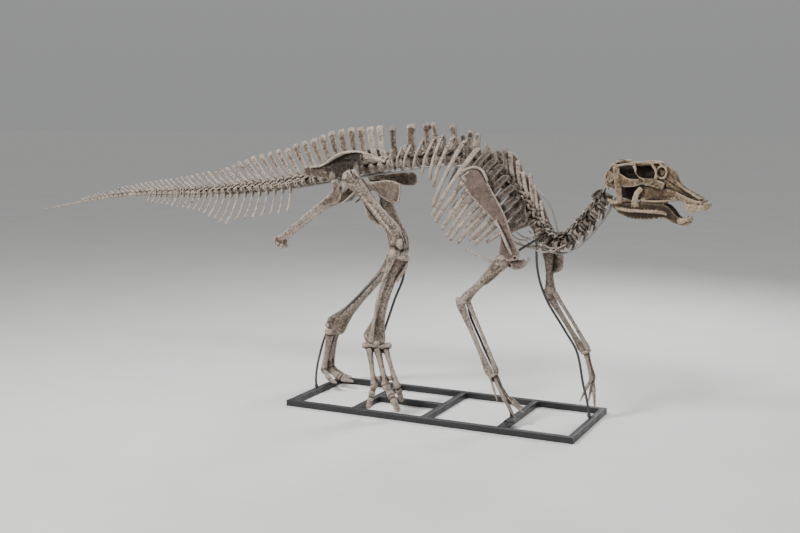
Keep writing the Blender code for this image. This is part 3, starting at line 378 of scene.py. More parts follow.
class Nodes:
    """Adds shader nodes to one tree and links them."""

    def __init__(self, tree: bpy.types.NodeTree) -> None:
        """Keep the tree."""
        self.tree = tree

    def add(self, kind: str, **settings: object) -> bpy.types.Node:
        """Add a node of a kind and set its properties."""
        node = self.tree.nodes.new(kind)
        for name, value in settings.items():
            setattr(node, name, value)
        return node

    def feed(self, socket: Socket, value: object) -> None:
        """Link a socket to an output, or set it to a plain value."""
        if isinstance(value, Socket):
            self.tree.links.new(value, socket)
        else:
            socket.default_value = value

    def math(self, operation: str, a: object, b: object = 0.0, clamp: bool = False) -> Socket:
        """Calculate with two values."""
        node = self.add("ShaderNodeMath", operation=operation, use_clamp=clamp)
        self.feed(node.inputs[0], a)
        self.feed(node.inputs[1], b)
        return node.outputs[0]

    def times(self, a: object, b: object, clamp: bool = False) -> Socket:
        """Multiply two values."""
        return self.math("MULTIPLY", a, b, clamp)

    def spread(self, value: object, low: float, high: float, to: tuple[float, float] = (0.0,
            1.0),) -> Socket:
        """Map a value from one range to another, smoothly and within its bounds."""
        node = self.add("ShaderNodeMapRange", interpolation_type="SMOOTHSTEP", clamp=True)
        for index, item in enumerate((value, low, high, *to)):
            self.feed(node.inputs[index], item)
        return node.outputs[0]

    def mix(self, share: object, a: object, b: object, blend: str = "MIX") -> Socket:
        """Mix two colours."""
        node = self.add("ShaderNodeMix", data_type="RGBA", blend_type=blend, clamp_factor=True)
        self.feed(node.inputs[0], share)
        self.feed(node.inputs[6], a)
        self.feed(node.inputs[7], b)
        return node.outputs[2]

    def noise(self, vector: object, scale: object, detail: float = 4.0, rough: float = 0.55,
            bend: float = 0.0) -> Socket:
        """A cloud pattern."""
        node = self.add("ShaderNodeTexNoise", normalize=True)
        self.feed(node.inputs["Vector"], vector)
        self.feed(node.inputs["Scale"], scale)
        node.inputs["Detail"].default_value = detail
        node.inputs["Roughness"].default_value = rough
        node.inputs["Distortion"].default_value = bend
        return node.outputs[0]

    def cells(self, vector: object, scale: object, feature: str = "F1", rough: float = 0.0,) -> Socket:
        """The distance in a cell pattern."""
        node = self.add("ShaderNodeTexVoronoi", feature=feature)
        self.feed(node.inputs["Vector"], vector)
        self.feed(node.inputs["Scale"], scale)
        if "Detail" in node.inputs:
            node.inputs["Detail"].default_value = rough
        return node.outputs["Distance"]

    def place(self, vector: object, scale: Point = (1.0, 1.0, 1.0), turn: Point = (0.0, 0.0, 0.0)) -> Socket:
        """Turn and stretch a pattern's coordinates."""
        node = self.add("ShaderNodeMapping", vector_type="POINT")
        self.feed(node.inputs["Vector"], vector)
        node.inputs["Rotation"].default_value = turn
        node.inputs["Scale"].default_value = scale
        return node.outputs[0]


def new_group(name: str, ins: dict[str, tuple[str, float]], outs: dict[str, str]) -> tuple[Nodes, dict,
        dict]:
    """Start a shader node group.

    Args:
        name: The group's name.
        ins: Its inputs, each with a socket kind and a default value.
        outs: Its outputs, each with a socket kind.

    Returns:
        The group's nodes, its input sockets and its output sockets, by name.
    """
    tree = bpy.data.node_groups.new(name, "ShaderNodeTree")
    for label, (kind, value) in ins.items():
        socket = tree.interface.new_socket(name=label, in_out="INPUT", socket_type=kind)
        if kind == "NodeSocketFloat":
            socket.default_value = value
    for label, kind in outs.items():
        tree.interface.new_socket(name=label, in_out="OUTPUT", socket_type=kind)
    nodes = Nodes(tree)
    source = nodes.add("NodeGroupInput")
    sink = nodes.add("NodeGroupOutput")
    return nodes, {s.name: s for s in source.outputs}, {s.name: s for s in sink.inputs}


def mottle_group() -> bpy.types.NodeTree:
    """Blotches, mottling and small dark specks of fossil bone, as three masks."""
    nodes, given, out = new_group("bone_mottle", {"Vector": ("NodeSocketVector", 0.0),
        "Size": ("NodeSocketFloat", 1.0)}, {"Blotch": "NodeSocketFloat", "Mottle": "NodeSocketFloat",
        "Speck": "NodeSocketFloat"})
    vector, size = given["Vector"], given["Size"]
    blotch = nodes.noise(vector, nodes.math("DIVIDE", 7.0, size), 3.0, 0.6, 0.8)
    nodes.feed(out["Blotch"], nodes.spread(blotch, 0.36, 0.66))
    mottle = nodes.noise(vector, nodes.math("DIVIDE", 55.0, size), 5.0, 0.68, 0.5)
    nodes.feed(out["Mottle"], nodes.spread(mottle, 0.42, 0.58))
    fine = nodes.noise(vector, nodes.math("DIVIDE", 210.0, size), 3.0, 0.7)
    patch = nodes.spread(nodes.noise(vector, nodes.math("DIVIDE", 24.0, size), 2.0), 0.4, 0.62)
    speck = nodes.times(nodes.spread(fine, 0.5, 0.62), patch)
    nodes.feed(out["Speck"], speck)
    return nodes.tree


def crack_group() -> bpy.types.NodeTree:
    """Sparse hairline cracks, as a mask."""
    nodes, given, out = new_group("bone_cracks", {"Vector": ("NodeSocketVector", 0.0),
        "Scale": ("NodeSocketFloat", 12.0), "Width": ("NodeSocketFloat", 0.02), "Share": ("NodeSocketFloat",
        0.5)}, {"Crack": "NodeSocketFloat"})
    bend = nodes.add("ShaderNodeTexNoise", normalize=True)
    nodes.feed(bend.inputs["Vector"], given["Vector"])
    bend.inputs["Scale"].default_value = 26.0
    bend.inputs["Detail"].default_value = 4.0
    shift = nodes.add("ShaderNodeVectorMath", operation="SCALE")
    nodes.feed(shift.inputs[0], bend.outputs["Color"])
    shift.inputs["Scale"].default_value = 0.045
    bent = nodes.add("ShaderNodeVectorMath", operation="ADD")
    nodes.feed(bent.inputs[0], given["Vector"])
    nodes.feed(bent.inputs[1], shift.outputs[0])
    edge = nodes.cells(bent.outputs[0], given["Scale"], "DISTANCE_TO_EDGE")
    line = nodes.math("SUBTRACT", 1.0, nodes.math("DIVIDE", edge, given["Width"]), clamp=True)
    where = nodes.noise(given["Vector"], 5.5, 2.0)
    least = nodes.math("SUBTRACT", 1.0, given["Share"])
    shown = nodes.times(nodes.math("SUBTRACT", where, nodes.times(least, 0.9)), 9.0, True)
    nodes.feed(out["Crack"], nodes.times(line, shown, True))
    return nodes.tree


def pore_group() -> bpy.types.NodeTree:
    """Fine pores and fibres that run along one axis, as a height and a mask."""
    nodes, given, out = new_group("bone_pores", {"Vector": ("NodeSocketVector", 0.0),
        "Fibre Vector": ("NodeSocketVector", 0.0), "Scale": ("NodeSocketFloat", 320.0)},
        {"Height": "NodeSocketFloat", "Pore": "NodeSocketFloat"})
    dots = nodes.cells(given["Vector"], given["Scale"])
    patch = nodes.spread(nodes.noise(given["Vector"], 18.0, 2.0), 0.42, 0.6)
    pore = nodes.times(nodes.spread(dots, 0.3, 0.1), patch)
    fibre = nodes.noise(given["Fibre Vector"], 150.0, 4.0, 0.7)
    grit = nodes.noise(given["Vector"], 420.0, 2.0, 0.6)
    height = nodes.math("ADD", nodes.times(fibre, 0.65), nodes.times(grit, 0.35))
    nodes.feed(out["Height"], nodes.math("SUBTRACT", height, nodes.times(pore, 0.7)))
    nodes.feed(out["Pore"], pore)
    return nodes.tree


GROUPS = {"mottle": mottle_group(), "cracks": crack_group(), "pores": pore_group()}


@dataclass(frozen=True)
class BoneFinish:
    """Dry fossil bone: pale ground, warm stain, painted shade and dark matrix in its hollows, and painted
    highlights on its edges.
    """

    name: str
    slot: str = "bone_limbs"
    bright: Point = (0.52, 0.435, 0.365)
    pale: Point = (0.205, 0.154, 0.118)
    stain: Point = (0.082, 0.056, 0.039)
    dark: Point = (0.013, 0.009, 0.0065)
    grain: Point = (0.0, 0.0, 0.0)
    stain_share: float = 0.55
    patch_share: float = 0.6
    crack_scale: float = 9.0
    crack_share: float = 0.46
    roughness: tuple[float, float] = (0.48, 0.8)
    sheen: float = 0.25

    def make(self) -> bpy.types.Material:
        """Build the material.

        Returns:
            A material whose patterns lie in object coordinates.
        """
        material = bpy.data.materials.new(self.name)
        material.use_nodes = True
        nodes = Nodes(material.node_tree)
        shader = material.node_tree.nodes["Principled BSDF"]
        where = nodes.add("ShaderNodeTexCoord").outputs["Object"]
        along = nodes.place(where, (0.16, 1.0, 1.0), self.grain)
        mottle = self._group(nodes, "mottle", {"Vector": where})
        streak = nodes.spread(nodes.noise(along, 60.0, 4.0, 0.65), 0.38, 0.68)
        cracks = self._group(nodes, "cracks", {"Vector": nodes.place(where, (0.42, 1.0, 1.0), self.grain),
            "Scale": self.crack_scale, "Width": 0.013, "Share": self.crack_share})
        pores = self._group(nodes, "pores", {"Vector": where, "Fibre Vector": along, "Scale": 330.0})
        hollow = nodes.add("ShaderNodeAttribute", attribute_name="hollow").outputs["Fac"]
        tone = nodes.add("ShaderNodeAttribute", attribute_name="tone").outputs["Fac"]
        colour = self._colour(nodes, mottle, streak, pores, cracks, hollow, tone)
        nodes.feed(shader.inputs["Base Color"], colour)
        rough = nodes.math("ADD", nodes.times(mottle.outputs["Mottle"], 0.6), nodes.times(streak, 0.4))
        nodes.feed(shader.inputs["Roughness"], nodes.spread(rough, 0.0, 1.0, self.roughness[::-1]))
        shader.inputs["Specular IOR Level"].default_value = self.sheen
        height = nodes.math("SUBTRACT", pores.outputs["Height"], nodes.math("MULTIPLY",
            cracks.outputs["Crack"], 1.6))
        height = nodes.math("ADD", height, nodes.times(mottle.outputs["Mottle"], 0.8))
        bump = nodes.add("ShaderNodeBump")
        bump.inputs["Strength"].default_value = 1.0
        bump.inputs["Distance"].default_value = 0.003
        nodes.feed(bump.inputs["Height"], height)
        nodes.feed(shader.inputs["Normal"], bump.outputs["Normal"])
        return material

    @staticmethod
    def _group(nodes: Nodes, name: str, values: dict[str, object]) -> bpy.types.Node:
        """Place one of the shared groups and set its inputs."""
        node = nodes.add("ShaderNodeGroup", node_tree=GROUPS[name])
        for label, value in values.items():
            nodes.feed(node.inputs[label], value)
        return node

    def _colour(self, nodes: Nodes, mottle: bpy.types.Node, streak: Socket, pores: bpy.types.Node,
            cracks: bpy.types.Node, hollow: Socket, tone: Socket) -> Socket:
        """Lay the stains over the pale ground, then painted highlights on edges and painted shade in
        hollows.

        Args:
            nodes: The material's nodes.
            mottle: The blotches, mottling and specks.
            streak: Stain along the bone's fibres.
            pores: The pores.
            cracks: The hairline cracks.
            hollow: How deep a point lies, below zero on an edge.
            tone: How light a point is painted, below zero where it is dark: mostly its bone's own tone, and
                on some forms painted shade or painted highlight.

        Returns:
            The colour.
        """
        bright, pale, stain, dark = ((*c, 1.0) for c in (self.bright, self.pale, self.stain, self.dark))
        blotch, patchy = mottle.outputs["Blotch"], mottle.outputs["Mottle"]
        share = nodes.math("ADD", nodes.times(blotch, 0.42), nodes.times(patchy, 0.36))
        share = nodes.math("ADD", share, nodes.times(streak, 0.3))
        share = nodes.math("SUBTRACT", share, nodes.times(tone, 0.5))
        share = nodes.times(share, self.stain_share * 1.5, True)
        colour = nodes.mix(share, pale, stain)
        patch = nodes.times(nodes.times(blotch, patchy), self.patch_share)
        colour = nodes.mix(nodes.times(patch, nodes.spread(tone, 1.2, 0.0)), colour, dark)
        # Tone below zero darkens towards the dark colour; on the skull core and the jaw's side this is
        # painted shade.
        colour = nodes.mix(nodes.spread(tone, -0.2, -1.6), colour, dark)
        # Tone above 0.35 lightens towards the bright colour; on spine tips, neck knobs, the thigh stripe and
        # the jaw ledge this is a painted highlight.
        lift = nodes.times(nodes.spread(tone, 0.35, 1.1), nodes.spread(patchy, 1.6, -0.2))
        colour = nodes.mix(lift, colour, bright)
        # Painted highlight: edges, where the hollow value is below zero, are lightened towards the bright
        # colour.
        edge = nodes.times(nodes.spread(hollow, -0.08, -0.65), nodes.spread(tone, -1.9, 0.2))
        colour = nodes.mix(nodes.times(edge, 0.75), colour, bright)
        # Painted shade in hollows, darkened almost to the dark colour; it also stands for dark matrix there.
        hollow_shade_and_matrix = nodes.times(nodes.spread(hollow, 0.02, 0.55), 0.94)
        colour = nodes.mix(hollow_shade_and_matrix, colour, dark)
        colour = nodes.mix(nodes.times(mottle.outputs["Speck"], 0.8), colour, dark)
        colour = nodes.mix(nodes.times(pores.outputs["Pore"], 0.55), colour, dark)
        return nodes.mix(nodes.times(cracks.outputs["Crack"], 0.85), colour,
            tuple(c * 0.4 for c in self.dark) + (1.0,))


@dataclass(frozen=True)
class SteelFinish:
    """Painted or bare mild steel, scuffed a little and dusty on top."""

    name: str
    slot: str = "stand_steel"
    paint: Point = (0.018, 0.018, 0.02)
    worn: Point = (0.16, 0.155, 0.15)
    dust: Point = (0.33, 0.31, 0.28)
    dust_share: float = 0.1
    metallic: float = 0.0
    roughness: tuple[float, float] = (0.3, 0.52)

    def make(self) -> bpy.types.Material:
        """Build the material.

        Returns:
            A material whose patterns lie in object coordinates.
        """
        material = bpy.data.materials.new(self.name)
        material.use_nodes = True
        nodes = Nodes(material.node_tree)
        shader = material.node_tree.nodes["Principled BSDF"]
        where = nodes.add("ShaderNodeTexCoord").outputs["Object"]
        cloud = nodes.noise(where, 9.0, 4.0, 0.6)
        scuff = nodes.spread(nodes.noise(nodes.place(where, (0.3, 1.0, 1.0)), 140.0, 4.0, 0.7), 0.6, 0.74)
        normal = nodes.add("ShaderNodeNewGeometry").outputs["Normal"]
        split = nodes.add("ShaderNodeSeparateXYZ")
        nodes.feed(split.inputs[0], normal)
        top = nodes.spread(split.outputs[2], 0.45, 0.95)
        colour = nodes.mix(nodes.times(scuff, 0.1), (*self.paint, 1.0), (*self.worn, 1.0))
        fall = nodes.times(nodes.spread(cloud, 0.35, 0.7), self.dust_share)
        colour = nodes.mix(nodes.times(top, fall), colour, (*self.dust, 1.0))
        nodes.feed(shader.inputs["Base Color"], colour)
        shader.inputs["Metallic"].default_value = self.metallic
        nodes.feed(shader.inputs["Roughness"], nodes.spread(cloud, 0.3, 0.7, self.roughness))
        bump = nodes.add("ShaderNodeBump")
        bump.inputs["Strength"].default_value = 0.25
        bump.inputs["Distance"].default_value = 0.0008
        nodes.feed(bump.inputs["Height"], nodes.noise(where, 260.0, 3.0))
        nodes.feed(shader.inputs["Normal"], bump.outputs["Normal"])
        return material


Finish = BoneFinish | SteelFinish
MATERIALS: dict[str, bpy.types.Material] = {}


def dress(obj: bpy.types.Object, finish: Finish, *nodes: str) -> bpy.types.Object:
    """Give a finished piece its material, its body and the nodes that it stands for.

    Args:
        obj: The piece.
        finish: Its finish.
        nodes: The CAD nodes that it replaces.

    Returns:
        The piece.
    """
    if finish.name not in MATERIALS:
        MATERIALS[finish.name] = finish.make()
    obj.data.materials.clear()
    obj.data.materials.append(MATERIALS[finish.name])
    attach(obj, "root")
    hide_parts(*nodes)
    log.info("%s: %d faces", obj.name, len(obj.data.polygons))
    return obj


def grain_along(direction: Vector) -> Point:
    """The turn that lays a pattern's x axis along a bone."""
    turn = Vector((1.0, 0.0, 0.0)).rotation_difference(direction).inverted()
    return tuple(turn.to_euler())


@dataclass(frozen=True)
class Seat:
    """A place on the vertebral column: its middle, its direction and its upward normal."""

    x: float
    middle: Vector
    along: Vector
    up: Vector
    length: float = 0.05

    def point(self, fore: float, out: float, rise: float) -> Vector:
        """A point so far ahead of, beside and above the middle."""
        return self.middle + self.along * fore + SIDEWAYS * out + self.up * rise

    def points(self, *places: Point) -> list[Vector]:
        """Several such points."""
        return [self.point(*place) for place in places]


@dataclass
class Column:
    """Course and sizes of the whole vertebral column, tail tip to skull."""

    course: Table = ((-3.48, 1.205), (-2.67, 1.344), (-1.91, 1.394), (-1.22, 1.465), (-0.63, 1.581),
        (-0.04, 1.668), (0.17, 1.652), (0.31, 1.588), (0.441, 1.477), (0.516, 1.394), (0.59, 1.29),
        (0.655, 1.206), (0.72, 1.158), (0.795, 1.153), (0.865, 1.203), (0.945, 1.284), (1.012, 1.368),
        (1.062, 1.442), (1.098, 1.52))
    centrum_half: Table = ((-3.48, 0.006), (-2.7, 0.014), (-1.9, 0.022), (-1.2, 0.031), (-0.6, 0.038),
        (0.1, 0.035), (0.6, 0.034), (0.7, 0.032), (0.87, 0.038), (1.0, 0.036), (1.09, 0.027))
    pitch: Table = ((-3.48, 0.024), (-3.0, 0.036), (-2.5, 0.046), (-2.0, 0.052), (-1.6, 0.06), (-1.4, 0.064),
        (-1.0, 0.067))
    spine_height: Table = ((-3.1, 0.022), (-2.56, 0.066), (-2.02, 0.112), (-1.74, 0.142), (-1.55, 0.172),
        (-1.43, 0.2), (-1.3, 0.226), (-1.1, 0.248), (-0.97, 0.262), (-0.7, 0.292), (-0.43, 0.262))
    spine_lean: Table = ((-3.0, 48.0), (-2.0, 42.0), (-1.55, 38.0), (-1.3, 31.0), (-1.15, 22.0),
        (-0.97, 13.0), (-0.7, 5.0), (-0.43, 1.0))
    spine_half: Table = ((-3.0, 0.006), (-2.4, 0.009), (-1.8, 0.0125), (-1.5, 0.017), (-1.2, 0.022),
        (-0.95, 0.0265), (-0.8, 0.0285), (-0.4, 0.0285))
    wing_reach: Table = ((-1.9, 0.022), (-1.6, 0.048), (-1.3, 0.075), (-1.0, 0.092))
    chevron_drop: Table = ((-2.45, 0.045), (-2.0, 0.105), (-1.83, 0.142), (-1.62, 0.24), (-1.46, 0.197),
        (-1.27, 0.195), (-1.12, 0.175))
    chevron_lean: Table = ((-2.4, 38.0), (-1.85, 33.0), (-1.6, 32.0), (-1.45, 26.0), (-1.27, 21.0),
        (-1.12, 18.0))

    def __post_init__(self) -> None:
        """Run the curve once."""
        self.line = smooth_line([Vector((x, 0.0, z)) for x, z in self.course], 24)

    def seat(self, x: float, length: float = 0.05) -> Seat:
        """The place where the column passes x."""
        i = next((k for k in range(1, len(self.line)) if self.line[k].x >= x), len(self.line) - 1)
        p, q = self.line[i - 1], self.line[i]
        along = (q - p).normalized()
        return Seat(x, p.lerp(q, (x - p.x) / (q.x - p.x)), along, Vector((-along.z, 0.0, along.x)), length)

    def walk(self, start: float, end: float) -> list[Seat]:
        """Seats of the vertebrae from end back to start.

        Args:
            start: Where the stretch starts along x.
            end: Where it ends.

        Returns:
            The seats at the pitch of each place, stretched a little to fill it.
        """
        lengths, x = [], end
        while x > start + 0.4 * at(self.pitch, x):
            lengths.append(at(self.pitch, x))
            x -= lengths[-1] * self.seat(x).along.x
        fit = (end - start) / (end - x)
        seats, x = [], end
        for length in lengths:
            step = length * fit * self.seat(x).along.x
            seats.append(self.seat(x - step / 2, length * fit))
            x -= step
        return seats

    def share(self, start: float, end: float, count: int) -> list[Seat]:
        """Seats of a given count of equal vertebrae from start to end."""
        marks = [self.seat(start + (end - start) * k / 240) for k in range(241)]
        run = [0.0]
        for a, b in zip(marks, marks[1:]):
            run.append(run[-1] + (b.middle - a.middle).length)
        seats = []
        for k in range(count):
            goal = run[-1] * (k + 0.5) / count
            i = next(j for j, done in enumerate(run) if done >= goal)
            seats.append(self.seat(marks[i].x, run[-1] / count))
        return seats


@dataclass
class Vertebra:
    """One vertebra, built round its seat on the column."""

    seat: Seat
    half: float
    form: BoneForm
    gap_share: float = 0.1
    sides: int = 14

    def centrum(self) -> None:
        """The spool shaped body, waisted between two raised rims."""
        reach = self.seat.length * (1 - self.gap_share) / 2
        shape = ((-1.0, 0.93), (-0.86, 1.03), (-0.55, 0.86), (0.0, 0.76), (0.55, 0.86), (0.86, 1.03),
            (1.0, 0.93))
        self.form.bar([self.seat.point(reach * s, 0.0, 0.0) for s, _ in shape],
            [(self.half * w, self.half * w) for _, w in shape], sides=self.sides, steps=2, round_ends=False)

    def arch(self, height: float = 1.75, width: float = 0.62) -> None:
        """The arch over the nerve canal, with its four joint facets."""
        h, length = self.half, self.seat.length
        self.form.bar(self.seat.points((0.0, 0.0, h * 0.5), (0.0, 0.0, h * 1.15),
            (-length * 0.04, 0.0, h * height)), [(h * width, length * 0.33), (h * width * 0.72,
            length * 0.29), (h * 0.26, length * 0.27)], sides=10, steps=2)
        for out in (-1, 1):
            self.form.bar(self.seat.points((length * 0.05, out * h * 0.34, h * 1.15),
                (length * 0.34, out * h * 0.42, h * 1.36), (length * 0.6, out * h * 0.4, h * 1.56)),
                [(h * 0.2, h * 0.24), (h * 0.16, h * 0.2), (h * 0.15, h * 0.12)], sides=8, steps=2)
            self.form.bar(self.seat.points((-length * 0.1, out * h * 0.2, h * 1.5),
                (-length * 0.38, out * h * 0.3, h * 1.64), (-length * 0.62, out * h * 0.36, h * 1.66)),
                [(h * 0.18, h * 0.22), (h * 0.15, h * 0.18), (h * 0.14, h * 0.12)], sides=8, steps=2)

    def spine(self, tip: Vector, foot: float, half: float, thick: float = 0.0052) -> None:
        """The upright plate, narrow over the arch and wider at its rough, thick tip, which is painted
        lighter as a highlight.
        """
        root = self.seat.point(-self.seat.length * 0.02, 0.0, self.half * 1.2)
        low = self.seat.point(-self.seat.length * 0.06, 0.0, self.half * 1.9)
        back = -self.seat.along * (tip - low).length * 0.035
        self.form.bar([root, low, low.lerp(tip, 0.35) + back, low.lerp(tip, 0.7) + back * 0.7,
            low.lerp(tip, 0.94), tip], [(thick * 1.9, foot), (thick * 1.3, foot * 0.82),
            (thick, half * 0.88), (thick, half * 0.97), (thick * 1.5, half * 1.04),
            (thick * 1.25, half * 0.88)], sides=16, steps=3)
        # Painted highlight: the tip is made lighter than the shaded plate below it.
        self.form.tone = max(self.form.tone + 0.7, 0.5)
        self.form.bar([low.lerp(tip, 0.92), low.lerp(tip, 1.004)], [(thick * 1.75, half * 1.02),
            (thick * 1.5, half * 0.86)], sides=12, steps=2)

    def wing(self, out: int, reach: float, rise: float, back: float, half: float) -> None:
        """One bar that stands out to a side, flat and a little wider at its end."""
        h = self.half
        root = self.seat.point(0.0, out * h * 0.25, h * 0.85)
        tip = self.seat.point(-back, out * (h * 0.4 + reach), h * 0.9 + rise)
        self.form.bar([root, root.lerp(tip, 0.5) + self.seat.up * 0.003, tip], [(half * 1.35, half * 0.62),
            (half * 0.85, half * 0.48), (half * 0.95, half * 0.42)], self.seat.along, sides=10, steps=3)


def wobble(index: int, seed: float = 1.0) -> float:
    """A steady value from -1 to 1 that differs from bone to bone."""
    return math.sin(index * 12.9898 * seed + 4.1) * math.cos(index * 3.17 + seed)


@dataclass
class Tail:
    """The tail in four lengths, with spines, side bars and chevrons."""

    column: Column
    finish: BoneFinish
    lengths: tuple[tuple[str, float, float, float], ...] = (("tail_end", -3.462, -2.722, 0.003),
        ("tail_rear", -2.718, -2.102, 0.0032), ("tail_middle", -2.098, -1.562, 0.0036),
        ("tail_base", -1.558, -0.992, 0.004))
    first_spine: float = -3.05
    first_wing: float = -1.95
    chevrons: tuple[float, float] = (-2.42, -1.1)

    def build(self) -> None:
        """Build and dress each length."""
        number = 0
        for name, start, end, voxel in self.lengths:
            form = BoneForm(f"{name}_vertebrae", voxel, 1, 0.0016)
            for seat in self.column.walk(start, end):
                form.tone = 0.35 * wobble(number, 2.3) + (0.35 if seat.x < -2.1 else 0.0)
                self._vertebra(form, seat, number)
                number += 1
            dress(form.fuse(), self.finish, name)

    def _vertebra(self, form: BoneForm, seat: Seat, number: int) -> None:
        """Add one tail vertebra with what stands on it."""
        half = at(self.column.centrum_half, seat.x)
        bone = Vertebra(seat, half, form, 0.12, 12)
        bone.centrum()
        if seat.x > self.first_spine:
            if seat.x > -2.75:
                bone.arch(1.6)
            height = at(self.column.spine_height, seat.x) * (1 + 0.03 * wobble(number))
            lean = math.tan(math.radians(at(self.column.spine_lean, seat.x) + 2.0 * wobble(number, 3.1)))
            width = at(self.column.spine_half, seat.x)
            tip = seat.point(-max(height - half, 0.0) * lean, 0.0, height)
            bone.spine(tip, min(seat.length * 0.3, width * 1.2), width, 0.0034 + width * 0.09)
        if seat.x > self.first_wing:
            reach = at(self.column.wing_reach, seat.x)
            for out in (-1, 1):
                bone.wing(out, reach, -reach * 0.3, reach * 0.42, 0.01)
        if self.chevrons[0] < seat.x < self.chevrons[1]:
            self._chevron(form, seat, half)

    def _chevron(self, form: BoneForm, seat: Seat, half: float) -> None:
        """Add the forked blade that hangs behind one vertebra."""
        drop = at(self.column.chevron_drop, seat.x)
        lean = math.tan(math.radians(at(self.column.chevron_lean, seat.x)))
        rear = -seat.length * 0.48
        width = 0.0055 + drop * 0.022
        join = seat.point(rear - 0.1 * drop * lean, 0.0, -half - 0.2 * drop)
        for out in (-1, 1):
            form.bar([seat.point(rear + 0.004, out * half * 0.45, -half * 0.62), seat.point(rear,
                out * half * 0.42, -half - 0.07 * drop), join], [(0.0042, width * 0.9)] * 3, sides=8,
                steps=2)
        shape = ((0.38, 0.2, 0.85), (0.7, 0.5, 0.9), (0.95, 0.86, 1.15), (1.0, 0.95, 0.9))
        points = [join] + [seat.point(rear - drop * lean * back, 0.0, -half * 0.2 - drop * down) for down,
            back, _ in shape]
        form.bar(points, [(0.0046, width)] + [(0.004, width * size) for _, _, size in shape], sides=10,
            steps=3)


@dataclass
class Sacrum:
    """The vertebrae between the hip blades, with the bars that carry them."""

    column: Column
    finish: BoneFinish
    bounds: tuple[float, float] = (-0.988, -0.402)
    bar_reach: float = 0.12

    def build(self) -> None:
        """Build and dress the sacrum."""
        form = BoneForm("sacral_vertebrae", 0.0042, 2, 0.002)
        for number, seat in enumerate(self.column.walk(*self.bounds)):
            half = at(self.column.centrum_half, seat.x)
            bone = Vertebra(seat, half, form, 0.03)
            form.tone = 0.3 * wobble(number, 1.7) - 0.25
            if seat.x > -0.54:
                form.tone = 0.9
            bone.centrum()
            bone.arch(1.9)
            height = at(self.column.spine_height, seat.x) * (1 + 0.02 * wobble(number, 2.0))
            lean = math.tan(math.radians(at(self.column.spine_lean, seat.x)))
            width = at(self.column.spine_half, seat.x) * (1 + 0.08 * wobble(number, 0.7))
            bone.spine(seat.point(-(height - half) * lean, 0.0, height), width * 1.05, width, 0.006)
            rise = -0.004 if seat.x < -0.7 else 0.02
            for out in (-1, 1):
                bone.wing(out, self.bar_reach - half * 0.4, rise, 0.008, 0.017)
        dress(form.fuse(), self.finish, "sacrum")


